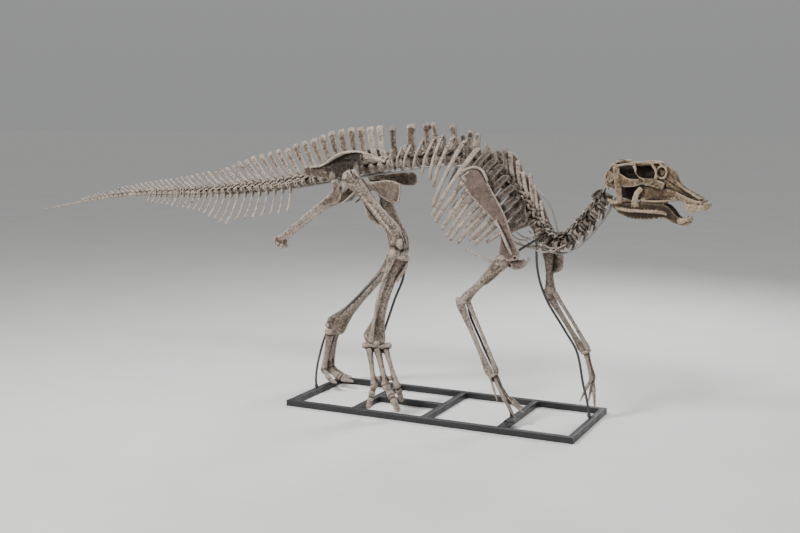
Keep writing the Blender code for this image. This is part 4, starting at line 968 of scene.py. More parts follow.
@dataclass
class RibCage:
    """Trunk vertebrae and the two sides of the rib cage."""

    column: Column
    finish: BoneFinish
    bounds: tuple[float, float] = (-0.385, 0.635)
    # Each trunk spine's tip x and z, half width and tone; short ones are broken stumps
    spines: tuple[tuple[float, float, float, float], ...] = ((-0.385, 1.868, 0.024, -0.9),
        (-0.292, 1.745, 0.016, 1.0), (-0.25, 1.882, 0.034, -0.4), (-0.185, 1.748, 0.014, 0.2),
        (-0.142, 1.894, 0.025, -0.4), (-0.091, 1.894, 0.024, -0.1), (-0.004, 1.772, 0.014, 0.9),
        (0.042, 1.886, 0.024, -0.6), (0.173, 1.851, 0.024, -0.5), (0.221, 1.833, 0.02, -0.3),
        (0.272, 1.769, 0.016, -0.4), (0.333, 1.734, 0.015, -0.6), (0.405, 1.741, 0.019, -0.6),
        (0.44, 1.711, 0.017, -0.3), (0.492, 1.665, 0.016, 0.4), (0.526, 1.594, 0.014, 1.0),
        (0.575, 1.583, 0.015, 0.6), (0.604, 1.512, 0.013, 0.7), (0.648, 1.417, 0.012, 0.8))
    # Each rib's seat along x, then x and z of its upper bend and of its tip
    ribs: tuple[tuple[float, float, float, float, float], ...] = ((-0.333, -0.354, 1.712, -0.358, 1.618),
        (-0.266, -0.284, 1.731, -0.304, 1.61), (-0.2, -0.22, 1.746, -0.249, 1.604),
        (-0.116, -0.13, 1.783, -0.179, 1.601), (-0.037, -0.047, 1.797, -0.113, 1.576),
        (0.02, 0.012, 1.815, -0.057, 1.539), (0.089, 0.085, 1.806, -0.032, 1.493),
        (0.157, 0.162, 1.78, -0.031, 1.365), (0.233, 0.253, 1.734, -0.031, 1.303),
        (0.296, 0.323, 1.714, -0.01, 1.266), (0.328, 0.362, 1.664, 0.034, 1.221),
        (0.371, 0.409, 1.633, 0.067, 1.182), (0.401, 0.443, 1.566, 0.09, 1.157),
        (0.44, 0.486, 1.503, 0.138, 1.137), (0.461, 0.51, 1.433, 0.221, 1.16), (0.475, 0.526, 1.376, 0.253,
        1.132), (0.511, 0.565, 1.298, 0.334, 1.154))
    bulge: Table = ((-0.37, 0.1), (0.0, 0.145), (0.25, 0.172), (0.45, 0.165), (0.6, 0.115))
    rib_half: Table = ((-0.37, 0.0066), (-0.15, 0.0085), (0.05, 0.0115), (0.25, 0.015), (0.45, 0.0125),
        (0.6, 0.01))
    rib_neck_half: Table = ((-0.37, 0.009), (0.05, 0.014), (0.25, 0.021), (0.31, 0.0265), (0.6, 0.0255))
    wing_reach: float = 0.062

    def build(self) -> None:
        """Build and dress the vertebrae and each side's ribs."""
        seats = self.column.share(*self.bounds, len(self.spines))
        form = BoneForm("trunk_vertebrae", 0.0042, 2, 0.002)
        for number, (seat, (x, z, width, tone)) in enumerate(zip(seats, self.spines)):
            half = at(self.column.centrum_half, seat.x)
            bone = Vertebra(seat, half, form, 0.09)
            form.tone = 0.25 * wobble(number, 1.3) - 0.1
            bone.centrum()
            form.tone = 0.45
            bone.arch(1.8)
            for out in (-1, 1):
                bone.wing(out, self.wing_reach, 0.03, 0.008, 0.0125)
            form.tone = tone
            foot = min(width * 1.1, seat.length * 0.3) if x > 0.3 else max(0.024, width * 1.25)
            bone.spine(Vector((x, 0.0, z)), foot, width, 0.0055)
        dress(form.fuse(), self.finish, "chest_right", "chest_left")
        for side in Side:
            form = BoneForm(f"ribs_{side.label}", 0.0038, 2, 0.0016)
            for number, rib in enumerate(self.ribs):
                self._rib(form, side, rib, 0.35 * wobble(number, 1.9) + 0.15)
            dress(form.fuse(), self.finish, f"chest_{side.label}")

    def _rib(self, form: BoneForm, side: Side, rib: tuple[float, ...], tone: float) -> None:
        """Add one two-headed rib that bends out, down and back to its free tip.

        Args:
            form: The form that takes it.
            side: The side of the body.
            rib: Its row in the list of ribs.
            tone: How light its lower part is.
        """
        x, knee_x, knee_z, tip_x, tip_z = rib
        sign, seat = side.value, self.column.seat(x)
        bulge, wide, neck = at(self.bulge, x), at(self.rib_half, x), at(self.rib_neck_half, x)
        knee = Vector((knee_x, sign * 0.08, knee_z))
        tip = Vector((tip_x, sign * bulge * 0.82, tip_z))
        line = [knee.lerp(tip, share) for share in (0.12, 0.28, 0.5, 0.78, 0.95)]
        for point, share in zip(line, (0.72, 0.86, 1.0, 0.985, 0.88)):
            point.y = sign * bulge * share
        head = seat.point(0.002, sign * 0.022, 0.03)
        across = seat.along + seat.up * 0.35
        bend = head.lerp(knee, 0.55) + SIDEWAYS * (sign * 0.006)
        form.tone, reach = (-0.9, line[:3]) if x > 0.28 else (tone, line[:2])
        form.bar([head, bend, knee, *reach], [(wide * 1.1, 0.009), (neck * 0.85, 0.008),
            (neck, 0.0085)] + [(neck * 0.97, 0.0085)] * (len(reach) - 1) + [(wide * 1.15, 0.008)], across,
            sides=12, steps=4)
        form.lump(knee + UPWARD * 0.003 - SIDEWAYS * (sign * 0.004), (neck * 0.95, 0.011, 0.009))
        form.tone = tone
        form.bar([line[0].lerp(line[1], 0.8), line[1], line[2], line[3], line[4], tip],
            [(wide * 1.1, 0.0078), (wide * 1.12, 0.008), (wide, 0.0075), (wide * 1.08, 0.007),
            (wide * 1.15, 0.0062), (wide * 0.9, 0.005)], across, sides=12, steps=4)


@dataclass
class Neck:
    """Ring like neck vertebrae with wide arches, long facets and small ribs."""

    column: Column
    finish: BoneFinish
    lengths: tuple[tuple[str, float, float, int], ...] = (("neck_lower", 0.626, 0.857, 4),
        ("neck_upper", 0.863, 1.08, 4))
    arch_rise: float = 0.054
    half_width: float = 0.036
    rib_drop: Table = ((0.68, 0.034), (0.76, 0.044), (0.87, 0.057), (1.0, 0.052), (1.08, 0.038))
    axis_rise: float = 0.086

    def build(self) -> None:
        """Build and dress both lengths."""
        for name, start, end, count in self.lengths:
            form = BoneForm(f"{name}_vertebrae", 0.0032, 1, 0.0018)
            for number, seat in enumerate(self.column.share(start, end, count)):
                form.tone = 0.25 * wobble(number, 2.9) - 0.9
                self._cervical(form, seat, self.arch_rise + (0.01 if name == "neck_lower" else 0.0))
                if name == "neck_lower":
                    self._long_ribs(form, seat)
                if name == "neck_upper" and number == count - 1:
                    self._axis(form, seat)
            dress(form.fuse(), self.finish, name)

    def _cervical(self, form: BoneForm, seat: Seat, rise: float) -> None:
        """Add one neck vertebra."""
        half, drop = at(self.column.centrum_half, seat.x), at(self.rib_drop, seat.x)
        Vertebra(seat, half, form, 0.1).centrum()
        length, wide = seat.length, self.half_width
        form.bar(seat.points((-0.002, -wide * 0.8, rise - 0.006), (-0.004, 0.0, rise + 0.004),
            (-0.002, wide * 0.8, rise - 0.006)), [(length * 0.23, 0.006), (length * 0.3, 0.0095),
            (length * 0.23, 0.006)], seat.along, sides=10, steps=3)
        for out in (-1, 1):
            form.bar(seat.points((0.0, out * half * 0.6, half * 0.45), (-0.001, out * wide * 0.8,
                half * 1.25), (-0.002, out * wide * 0.74, rise - 0.002)), [(length * 0.24, 0.007),
                (length * 0.18, 0.006), (length * 0.2, 0.0065)], seat.along, sides=8, steps=3)
            form.bar(seat.points((-0.004, out * wide * 0.62, rise - 0.002), (-length * 0.42,
                out * wide * 0.95, rise + 0.008), (-length * 0.78, out * wide * 1.12, rise - 0.002)),
                [(0.0085, 0.007), (0.01, 0.0065), (0.011, 0.005)], sides=10, steps=3)
            form.bar(seat.points((0.004, out * wide * 0.72, rise - 0.016), (length * 0.36, out * wide * 1.02,
                rise - 0.012), (length * 0.56, out * wide * 1.1, rise - 0.005)), [(0.008, 0.0065),
                (0.009, 0.0055), (0.0085, 0.004)], sides=10, steps=3)
            form.bar(seat.points((length * 0.16, out * half * 0.85, -half * 0.35),
                (length * 0.06, out * (half + 0.017), -half * 0.75), (-length * 0.42, out * (half + 0.016),
                -drop * 0.92), (-length * 0.8, out * (half + 0.01), -drop)), [(0.0085, 0.008),
                (0.008, 0.0085), (0.0065, 0.0065), (0.0045, 0.004)], sides=8, steps=3)
            # Painted highlights: two small lumps on each side of the dark neck are made bright.
            tone, form.tone = form.tone, 1.0
            form.lump(seat.point(-length * 0.3, out * (half + 0.02), -drop * 0.94), (0.01, 0.005, 0.006))
            form.lump(seat.point(-length * 0.52, out * wide * 1.05, rise + 0.006), (0.012, 0.007, 0.006))
            form.tone = tone
            form.bar(seat.points((0.0, out * wide * 0.55, half * 0.75), (-0.003, out * (wide + 0.016),
                half * 0.3), (0.0, out * (half + 0.015), -half * 0.8)), [(0.013, 0.006), (0.0115, 0.0055),
                (0.01, 0.0055)], seat.along, sides=8, steps=3)

    def _long_ribs(self, form: BoneForm, seat: Seat) -> None:
        """Add the thin ribs that sweep back below the foot of the neck."""
        form.tone = 0.7
        for out in (-1, 1):
            root = seat.point(0.0, out * 0.04, -0.012)
            form.bar([root, root + Vector((-0.055, out * 0.012, -0.03)), root + Vector((-0.12, out * 0.016,
                -0.028)), root + Vector((-0.17, out * 0.01, 0.004))], [(0.0065, 0.006), (0.005, 0.005),
                (0.0042, 0.0045), (0.003, 0.0032)], sides=8, steps=4)

    def _axis(self, form: BoneForm, seat: Seat) -> None:
        """Add the high plate of the vertebra behind the skull."""
        form.bar(seat.points((0.02, 0.0, 0.045), (0.004, 0.0, 0.06), (-0.03, 0.0, self.axis_rise)),
            [(0.008, 0.026), (0.006, 0.024), (0.007, 0.01)], sides=10, steps=3)


@dataclass(frozen=True)
class Shaft:
    """The frame of a long bone: its two ends and the directions beside it."""

    start: Vector
    end: Vector
    out: Vector

    @property
    def down(self) -> Vector:
        """The direction from the start to the end."""
        return (self.end - self.start).normalized()

    @property
    def fore(self) -> Vector:
        """The direction square to the bone that points to the animal's front."""
        fore = SIDEWAYS.cross(self.down).normalized()
        return fore if fore.x > 0 else -fore

    def point(self, share: float, out: float = 0.0, fore: float = 0.0, down: float = 0.0) -> Vector:
        """A point at a share of the length, moved beside and along the bone."""
        return self.start.lerp(self.end, share) + self.out * out + self.fore * fore + self.down * down

    def points(self, *places: tuple[float, ...]) -> list[Vector]:
        """Several such points."""
        return [self.point(*place) for place in places]

    def loft(self, form: BoneForm, stations: tuple, sides: int = 20, steps: int = 3) -> None:
        """Add a bar along the bone.

        Args:
            form: The form that takes it.
            stations: Share, half size across, half size fore and aft, and the shifts out and fore.
            sides: Points on each ring.
            steps: Rings from one station to the next.
        """
        points = [self.point(s[0], s[3] if len(s) > 3 else 0.0,
            s[4] if len(s) > 4 else 0.0) for s in stations]
        form.bar(points, [(s[1], s[2]) for s in stations], self.out, sides=sides, steps=steps)


@dataclass
class Shoulder:
    """One side's shoulder blade with its hooked bone, and the breast bar."""

    side: Side
    finish: BoneFinish
    rough_finish: BoneFinish
    axis: Table = ((0.222, 1.598), (0.272, 1.527), (0.335, 1.452), (0.397, 1.382), (0.452, 1.31),
        (0.483, 1.246), (0.499, 1.177), (0.51, 1.115), (0.518, 1.064))
    halves: tuple[float, ...] = (0.066, 0.079, 0.067, 0.054, 0.041, 0.035, 0.046, 0.07, 0.06)
    reaches: tuple[float, ...] = (0.15, 0.164, 0.18, 0.188, 0.194, 0.197, 0.198, 0.2, 0.197)
    left_shift: tuple[float, float] = (0.098, 0.085)

    def _put(self, point: Point) -> Vector:
        """A point of this side; the left one's bones lie farther ahead and higher."""
        shift = self.left_shift if self.side is Side.LEFT else (0.0, 0.0)
        return self.side.put((point[0] + shift[0], point[1], point[2] + shift[1]))

    def build(self) -> None:
        """Build and dress both bones."""
        label = self.side.label
        form = BoneForm(f"shoulder_blade_{label}", 0.0034, 3, 0.0012, tone=0.1)
        points = [self._put((x, out, z)) for (x, z), out in zip(self.axis, self.reaches)]
        thick = [0.0075, 0.0085, 0.009, 0.009, 0.0095, 0.01, 0.014, 0.019, 0.024]
        form.bar(points, list(zip(thick, self.halves)), sides=24, steps=5)
        form.tone = 0.5
        ridge = [(0.425, 0.202, 1.3), (0.47, 0.21, 1.226), (0.505, 0.218, 1.16), (0.535, 0.214, 1.1)]
        form.bar([self._put(p) for p in ridge], [(0.006, 0.009), (0.009, 0.01), (0.011, 0.011),
            (0.009, 0.01)], sides=12)
        rim = [(0.16, 0.148, 1.56), (0.163, 0.148, 1.592), (0.25, 0.152, 1.624), (0.312, 0.16, 1.61),
            (0.356, 0.172, 1.545)]
        form.bar([self._put(p) for p in rim], [(0.0095, 0.009)] * 5, sides=10)
        form.tone = -0.1
        foot = [(0.5, 0.192, 1.062), (0.548, 0.185, 1.035), (0.59, 0.172, 1.04), (0.628, 0.158, 1.072)]
        form.bar([self._put(p) for p in foot], [(0.02, 0.034), (0.018, 0.036), (0.014, 0.026),
            (0.01, 0.013)], sides=16)
        form.cut(lump(self._put((0.505, 0.214, 1.02)), (0.034, 0.022, 0.026)))
        form.cut(lump(self._put((0.556, 0.205, 1.078)), (0.009, 0.03, 0.008)))
        dress(form.fuse(), self.finish, f"scapula_{label}")
        self._breast(label)

    def _breast(self, label: str) -> None:
        """Add the breast bone: a paddle ahead and a thin bar behind."""
        form = BoneForm(f"breast_bone_{label}", 0.0032, 1, 0.0018, tone=0.25)
        line = [(0.198, 0.125, 1.103), (0.3, 0.13, 1.062), (0.39, 0.135, 1.028), (0.47, 0.145, 1.018),
            (0.525, 0.165, 1.038)]
        form.bar([self._put(p) for p in line], [(0.011, 0.008), (0.0115, 0.0078), (0.018, 0.008),
            (0.029, 0.01), (0.024, 0.012)], sides=14)
        dress(form.fuse(), self.rough_finish, f"sternum_{label}")


@dataclass
class Pelvis:
    """One side of the pelvis: hip blade, front plate and rear rod."""

    side: Side
    finish: BoneFinish
    # x, highest z, lowest z, distance out, half thickness
    blade: tuple[tuple[float, ...], ...] = ((-0.368, 1.656, 1.64, 0.15, 0.006), (-0.405, 1.672, 1.644, 0.144,
        0.009), (-0.45, 1.686, 1.654, 0.138, 0.011), (-0.545, 1.712, 1.658, 0.128, 0.013),
        (-0.59, 1.714, 1.6, 0.126, 0.015), (-0.625, 1.712, 1.585, 0.126, 0.016),
        (-0.69, 1.706, 1.58, 0.126, 0.015), (-0.745, 1.684, 1.535, 0.126, 0.018),
        (-0.8, 1.65, 1.52, 0.126, 0.016), (-0.87, 1.616, 1.528, 0.128, 0.01), (-0.94, 1.608, 1.532, 0.134,
        0.008), (-0.988, 1.604, 1.546, 0.142, 0.006))
    # x, distance out, z and half height of the front plate, which sags on the near side
    near_plate: tuple[tuple[float, ...], ...] = ((-0.588, 0.13, 1.522, 0.026), (-0.52, 0.138, 1.498, 0.018),
        (-0.44, 0.15, 1.484, 0.034), (-0.36, 0.16, 1.47, 0.062), (-0.3, 0.166, 1.454, 0.072),
        (-0.256, 0.17, 1.449, 0.06))
    far_plate: tuple[tuple[float, ...], ...] = ((-0.585, 0.13, 1.532, 0.026), (-0.52, 0.138, 1.526, 0.022),
        (-0.44, 0.15, 1.524, 0.034), (-0.38, 0.16, 1.521, 0.045), (-0.32, 0.166, 1.521, 0.046),
        (-0.29, 0.17, 1.524, 0.03))

    def _put(self, points: tuple[Point, ...]) -> list[Vector]:
        """Points of this side."""
        return [self.side.put(p) for p in points]

    def build(self) -> None:
        """Build and dress the three bones."""
        self._hip_blade()
        self._front_plate()
        self._rear_rod()

    def _hip_blade(self) -> None:
        """Add the blade that lies along the sacrum, with its ridge and socket."""
        form = BoneForm(f"hip_blade_{self.side.label}", 0.0038, 2, 0.0022, tone=-0.45)
        for tone, part in ((0.8, self.blade[:4]), (-1.15, self.blade[3:9]), (-0.6, self.blade[8:])):
            form.tone = tone
            form.bar(self._put(tuple((x, out, (high + low) / 2) for x, high, low, out, _ in part)),
                [(thick, (high - low) / 2) for _, high, low, _, thick in part], sides=24, steps=4)
        form.tone = -0.8
        form.bar(self._put(((-0.59, 0.13, 1.64), (-0.58, 0.134, 1.58), (-0.573, 0.134, 1.532))),
            [(0.014, 0.032), (0.018, 0.02), (0.017, 0.019)], sides=16)
        form.bar(self._put(((-0.752, 0.128, 1.6), (-0.765, 0.13, 1.55), (-0.77, 0.13, 1.53))),
            [(0.012, 0.034), (0.022, 0.032), (0.018, 0.026)], sides=16)
        form.tone = 0.95
        form.bar(self._put(((-0.455, 0.142, 1.684), (-0.56, 0.138, 1.708), (-0.65, 0.144, 1.704),
            (-0.715, 0.156, 1.682), (-0.78, 0.152, 1.646), (-0.85, 0.14, 1.612), (-0.93, 0.14, 1.6))),
            [(0.008, 0.007), (0.01, 0.008), (0.014, 0.01), (0.019, 0.013), (0.014, 0.01), (0.009, 0.008),
            (0.007, 0.006)], sides=14)
        form.cut(lump(self.side.put((-0.655, 0.156, 1.648)), (0.06, 0.02, 0.022)))
        form.cut(lump(self.side.put((-0.815, 0.15, 1.585)), (0.06, 0.014, 0.024)))
        dress(form.fuse(), self.finish, f"ilium_{self.side.label}")

    def _front_plate(self) -> None:
        """Add the plate ahead of the hip socket, with the thin strut behind it."""
        near = self.side is Side.RIGHT
        form = BoneForm(f"front_plate_{self.side.label}", 0.0034, 2, 0.0018, tone=0.2 if near else -0.6)
        line = self.near_plate if near else self.far_plate
        form.bar(self._put(tuple((x, out, z) for x, out, z, _ in line)), list(zip((0.021, 0.013, 0.009,
            0.008, 0.0085, 0.0065), (half for *_, half in line))), sides=24, steps=5)
        if near:
            form.bar(self._put(((-0.252, 0.17, 1.508), (-0.246, 0.171, 1.45), (-0.262, 0.17, 1.392))),
                [(0.008, 0.008), (0.0085, 0.007), (0.008, 0.009)], sides=10)
        form.bar(self._put(((-0.565, 0.125, 1.5), (-0.6, 0.118, 1.448), (-0.65, 0.112, 1.405),
            (-0.72, 0.105, 1.352))), [(0.008, 0.014), (0.0065, 0.0095), (0.006, 0.0085), (0.005, 0.007)],
            sides=12)
        dress(form.fuse(), self.finish, f"pubis_{self.side.label}")

    def _rear_rod(self) -> None:
        """Add the rod that runs down and back to its foot."""
        form = BoneForm(f"rear_rod_{self.side.label}", 0.0036, 2, 0.002)
        form.bar(self._put(((-0.755, 0.122, 1.513), (-0.742, 0.117, 1.462), (-0.765, 0.105, 1.405),
            (-0.845, 0.085, 1.364), (-0.958, 0.066, 1.3), (-1.112, 0.045, 1.19), (-1.212, 0.034, 1.116),
            (-1.268, 0.03, 1.072))), [(0.02, 0.031), (0.012, 0.031), (0.009, 0.046), (0.0095, 0.028),
            (0.011, 0.0195), (0.0115, 0.019), (0.013, 0.022), (0.014, 0.034)], sides=20, steps=6)
        form.bar(self._put(((-0.672, 0.116, 1.508), (-0.7, 0.112, 1.462), (-0.745, 0.108, 1.42))),
            [(0.012, 0.016), (0.009, 0.018), (0.007, 0.02)], sides=14)
        form.tone = 0.3
        form.bar(self._put(((-1.292, 0.03, 1.096), (-1.268, 0.03, 1.062), (-1.232, 0.03, 1.03))),
            [(0.012, 0.014), (0.016, 0.027), (0.012, 0.016)], sides=16)
        dress(form.fuse(), self.finish, f"ischium_{self.side.label}")


@dataclass
class HindLeg:
    """One hind leg: thigh bone, shin bones and foot, from its joint places."""

    side: Side
    thigh_finish: BoneFinish
    shin_finish: BoneFinish
    hip: Point
    knee: Point
    ankle: Point
    knuckle: Point
    tips: tuple[Point, Point, Point]
    shin_side: tuple[float, float]
    shin_lag: float
    toe_arch: float
    spread: Point
    spread_share: float

    @property
    def out(self) -> Vector:
        """The direction away from the middle plane."""
        return SIDEWAYS * self.side.value

    def build(self) -> None:
        """Build and dress the leg."""
        self._thigh()
        self._shin()
        self._thin_shin()
        self._foot()

    def _thigh(self) -> None:
        """Add the thigh bone with ball, processes, ridge and lower knobs."""
        hip, knee, out = self.side.put(self.hip), self.side.put(self.knee), self.out
        bone = Shaft(hip + out * 0.055, knee + out * 0.004, out)
        form = BoneForm(f"thigh_bone_{self.side.label}", 0.0042, 3, 0.0026)
        bone.loft(form, ((-0.015, 0.022, 0.04, 0.0, -0.01), (0.03, 0.032, 0.056, 0.0, -0.008),
            (0.1, 0.036, 0.058, 0.0, 0.0), (0.18, 0.034, 0.049, 0.0, 0.008), (0.32, 0.032, 0.041, 0.0,
            0.018), (0.5, 0.032, 0.04, 0.0, 0.026), (0.66, 0.034, 0.042, 0.0, 0.036),
            (0.76, 0.037, 0.048, 0.0, 0.042), (0.83, 0.042, 0.055, 0.0, 0.038),
            (0.9, 0.048, 0.062, 0.0, 0.022), (0.955, 0.045, 0.06, 0.0, 0.01)), 24, 4)
        form.tone = 0.35
        form.bar(bone.points((0.005, 0.0, 0.05), (0.06, 0.004, 0.052), (0.14, 0.002, 0.044),
            (0.2, 0.0, 0.03)), [(0.015, 0.011), (0.019, 0.014), (0.016, 0.012), (0.008, 0.008)], out,
            sides=14)
        form.lump(hip + out * 0.016 + bone.down * 0.018, (0.041, 0.045, 0.042))
        form.lump(bone.point(0.018, 0.006, -0.016), (0.036, 0.03, 0.034))
        form.tone = -0.1
        form.bar(bone.points((0.34, -0.006, -0.014), (0.44, -0.004, -0.026), (0.52, -0.004, -0.038),
            (0.57, -0.004, -0.03), (0.64, -0.006, -0.008)), [(0.008, 0.016), (0.01, 0.026), (0.01, 0.03),
            (0.009, 0.024), (0.006, 0.012)], out, sides=14, steps=4)
        # Painted highlight: a thin light stripe along the outer face of the shaft.
        form.tone = 0.95
        form.bar(bone.points((0.26, 0.029, 0.006), (0.46, 0.03, 0.018), (0.66, 0.032, 0.03),
            (0.78, 0.036, 0.04)), [(0.005, 0.008)] * 4, out, sides=12)
        form.tone = 0.45
        for y in (-0.031, 0.031):
            knob = bone.point(1.0, 0.0, -0.026, -0.008) + SIDEWAYS * y
            form.bar([knob - out * 0.024, knob - out * 0.008, knob + out * 0.01, knob + out * 0.024],
                [(0.028, 0.03), (0.042, 0.045), (0.042, 0.045), (0.03, 0.031)], bone.fore, sides=20)
            form.lump(bone.point(0.95, 0.0, 0.04) + SIDEWAYS * y, (0.026, 0.021, 0.04))
        form.cut(bar(bone.points((0.8, 0.0, 0.098), (0.9, 0.0, 0.084), (1.0, 0.0, 0.074)),
            [(0.004, 0.01), (0.009, 0.016), (0.009, 0.018)], out, 12))
        form.cut(bar(bone.points((-0.04, 0.012, 0.03), (0.04, 0.018, 0.031), (0.11, 0.03, 0.03)),
            [(0.026, 0.005), (0.022, 0.004), (0.01, 0.003)], out, 10))
        dress(form.fuse(), self.thigh_finish, f"femur_{self.side.label}")

    def _shin(self) -> None:
        """Add the shin bone: a wide plate at the knee, a thin middle and a wide ankle."""
        out = self.out
        bone = Shaft(self.side.put(self.knee) - out * 0.004, self.side.put(self.ankle) - out * 0.004, out)
        form = BoneForm(f"shin_bone_{self.side.label}", 0.004, 3, 0.0024, tone=0.1)
        lag = self.shin_lag
        bone.loft(form, ((0.035, 0.048, 0.066), (0.06, 0.052, 0.074), (0.085, 0.047, 0.066),
            (0.15, 0.038, 0.05), (0.26, 0.03, 0.036, 0.0, -lag * 0.4), (0.42, 0.027, 0.033, 0.0,
            -lag * 0.75), (0.58, 0.027, 0.034, 0.0, -lag), (0.72, 0.031, 0.04, 0.0, -lag),
            (0.82, 0.038, 0.054, 0.0, -lag), (0.9, 0.047, 0.072, 0.0, -lag), (0.95, 0.052, 0.08, 0.0, -lag),
            (0.98, 0.05, 0.07, 0.0, -lag)), 24, 4)
        form.tone = 0.35
        form.bar(bone.points((0.0, 0.0, 0.05, 0.035), (0.0, 0.0, 0.056, 0.085), (0.0, 0.002, 0.046, 0.135),
            (0.0, 0.002, 0.026, 0.195)), [(0.014, 0.016), (0.013, 0.019), (0.011, 0.017), (0.008, 0.01)],
            out, sides=14)
        for shift, back in ((-0.026, -0.034), (0.024, -0.038)):
            form.lump(bone.point(0.0, shift, back, 0.038), (0.024, 0.024, 0.026))
        form.lump(bone.point(0.975, 0.026, 0.03 - lag), (0.034, 0.026, 0.028))
        form.lump(bone.point(0.985, -0.026, -0.034 - lag), (0.03, 0.03, 0.026))
        form.cut(bar(bone.points((0.8, 0.046, -lag), (0.97, 0.06, -lag)), [(0.01, 0.01), (0.013, 0.014)],
            out, 12))
        dress(form.fuse(), self.shin_finish, f"tibia_{self.side.label}")

    def _thin_shin(self) -> None:
        """Add the thin bone beside the shin bone."""
        out = self.out
        knee, ankle = self.side.put(self.knee), self.side.put(self.ankle)
        main = Shaft(knee, ankle, out)
        back, aside = self.shin_side
        bone = Shaft(knee + out * 0.046 + main.fore * back * 0.5 + main.down * 0.035,
            ankle + out * 0.052 - main.down * 0.022 + main.fore * aside * 0.3, out)
        form = BoneForm(f"thin_shin_bone_{self.side.label}", 0.0034, 2, 0.0018, tone=0.15)
        lag = self.shin_lag
        bone.loft(form, ((0.0, 0.012, 0.024, 0.0, 0.0), (0.05, 0.013, 0.027, 0.0, -0.003),
            (0.13, 0.011, 0.019, 0.0, -0.007), (0.28, 0.009, 0.013, 0.0, -0.01 - lag * 0.5),
            (0.5, 0.0085, 0.011, 0.0, -0.012 - lag), (0.72, 0.009, 0.011, 0.0, -0.009 - lag),
            (0.88, 0.0115, 0.014, 0.0, -0.004 - lag), (1.0, 0.0135, 0.018, 0.0, -lag)), 16, 4)
        dress(form.fuse(), self.shin_finish, f"fibula_{self.side.label}")

    def _foot(self) -> None:
        """Add ankle bones, three long foot bones and three toes."""
        ankle, knuckle = self.side.put(self.ankle), self.side.put(self.knuckle)
        out = self.side.put(self.spread).normalized()
        down = Shaft(ankle, knuckle, out).down
        ahead = out.cross(down)
        wide = self.spread_share
        form = BoneForm(f"foot_bones_{self.side.label}", 0.0036, 2, 0.0022, tone=0.15)
        form.bar([ankle - out * 0.06 * wide + down * 0.01, ankle - out * 0.022 + down * 0.022,
            ankle + out * 0.014 + down * 0.016, ankle + out * 0.06 * wide + down * 0.01],
            [(0.034, 0.022), (0.038, 0.023), (0.034, 0.021), (0.031, 0.021)], ahead, sides=18)
        tops, lows = (0.037 * wide, 0.0, -0.036 * wide), (0.052 * wide, 0.0, -0.05 * wide)
        widths = (0.022, 0.026, 0.021)
        for number, (tip, high, low, half) in enumerate(zip(self.tips, tops, lows, widths)):
            top = ankle + out * high + down * 0.036
            root = knuckle + out * low
            bone = Shaft(top, root + down * 0.006, out)
            form.tone = (0.05, 0.3, 0.0)[number]
            bone.loft(form, ((0.0, half * 1.08, half * 1.5), (0.07, half * 1.02, half * 1.42),
                (0.22, half * 0.84, half * 1.1), (0.5, half * 0.7, half * 0.88),
                (0.76, half * 0.84, half * 0.92), (0.9, half * 1.04, half * 1.1),
                (1.0, half * 0.98, half * 1.02)), 16, 3)
            Digit(root - down * 0.004, self.side.put(tip), half * 1.1, out, arch=self.toe_arch).build(form)
        form.tone = 0.0
        form.bar([knuckle - out * 0.048 - down * 0.05, knuckle + out * 0.048 - down * 0.05],
            [(0.014, 0.015)] * 2, ahead, sides=10)
        dress(form.fuse(), self.shin_finish, f"foot_{self.side.label}")


@dataclass(frozen=True)
class Digit:
    """A toe or finger: waisted bones, bulging joints and a flat hoof."""

    root: Vector
    tip: Vector
    half: float
    out: Vector
    shares: tuple[float, ...] = (0.0, 0.44, 0.66, 1.0)
    arch: float = 0.006

    def _point(self, share: float) -> Vector:
        """A point along the digit, which is arched upward."""
        return self.root.lerp(self.tip, share) + UPWARD * (self.arch * math.sin(math.pi * share))

    def build(self, form: BoneForm) -> None:
        """Add the digit's bones to a form."""
        last = len(self.shares) - 2
        for index, (a, b) in enumerate(zip(self.shares, self.shares[1:])):
            gap = 0.018
            width = self.half * (1.0 - 0.22 * a)
            start, end = self._point(a + gap), self._point(b - (gap if index < last else 0.0))
            form.tone = 0.35 if index % 2 else 0.05
            if index == last:
                form.bar([start, start.lerp(end, 0.35), start.lerp(end, 0.75), end],
                    [(width * 0.98, width * 0.82), (width * 0.84, width * 0.62), (width * 0.9, width * 0.42),
                    (width * 0.55, width * 0.2)], self.out, sides=14)
                continue
            form.bar([start, start.lerp(end, 0.14), start.lerp(end, 0.5), start.lerp(end, 0.84), end],
                [(width * 0.96, width * 0.86), (width * 1.04, width * 0.94), (width * 0.72, width * 0.66),
                (width * 0.98, width * 0.86), (width * 0.92, width * 0.8)], self.out, sides=14)
            joint = self._point(b)
            form.bar([start.lerp(joint, 0.8), joint.lerp(self._point(min(b + 0.06, 1.0)), 0.9)],
                [(width * 0.66, width * 0.56)] * 2, self.out, sides=10)


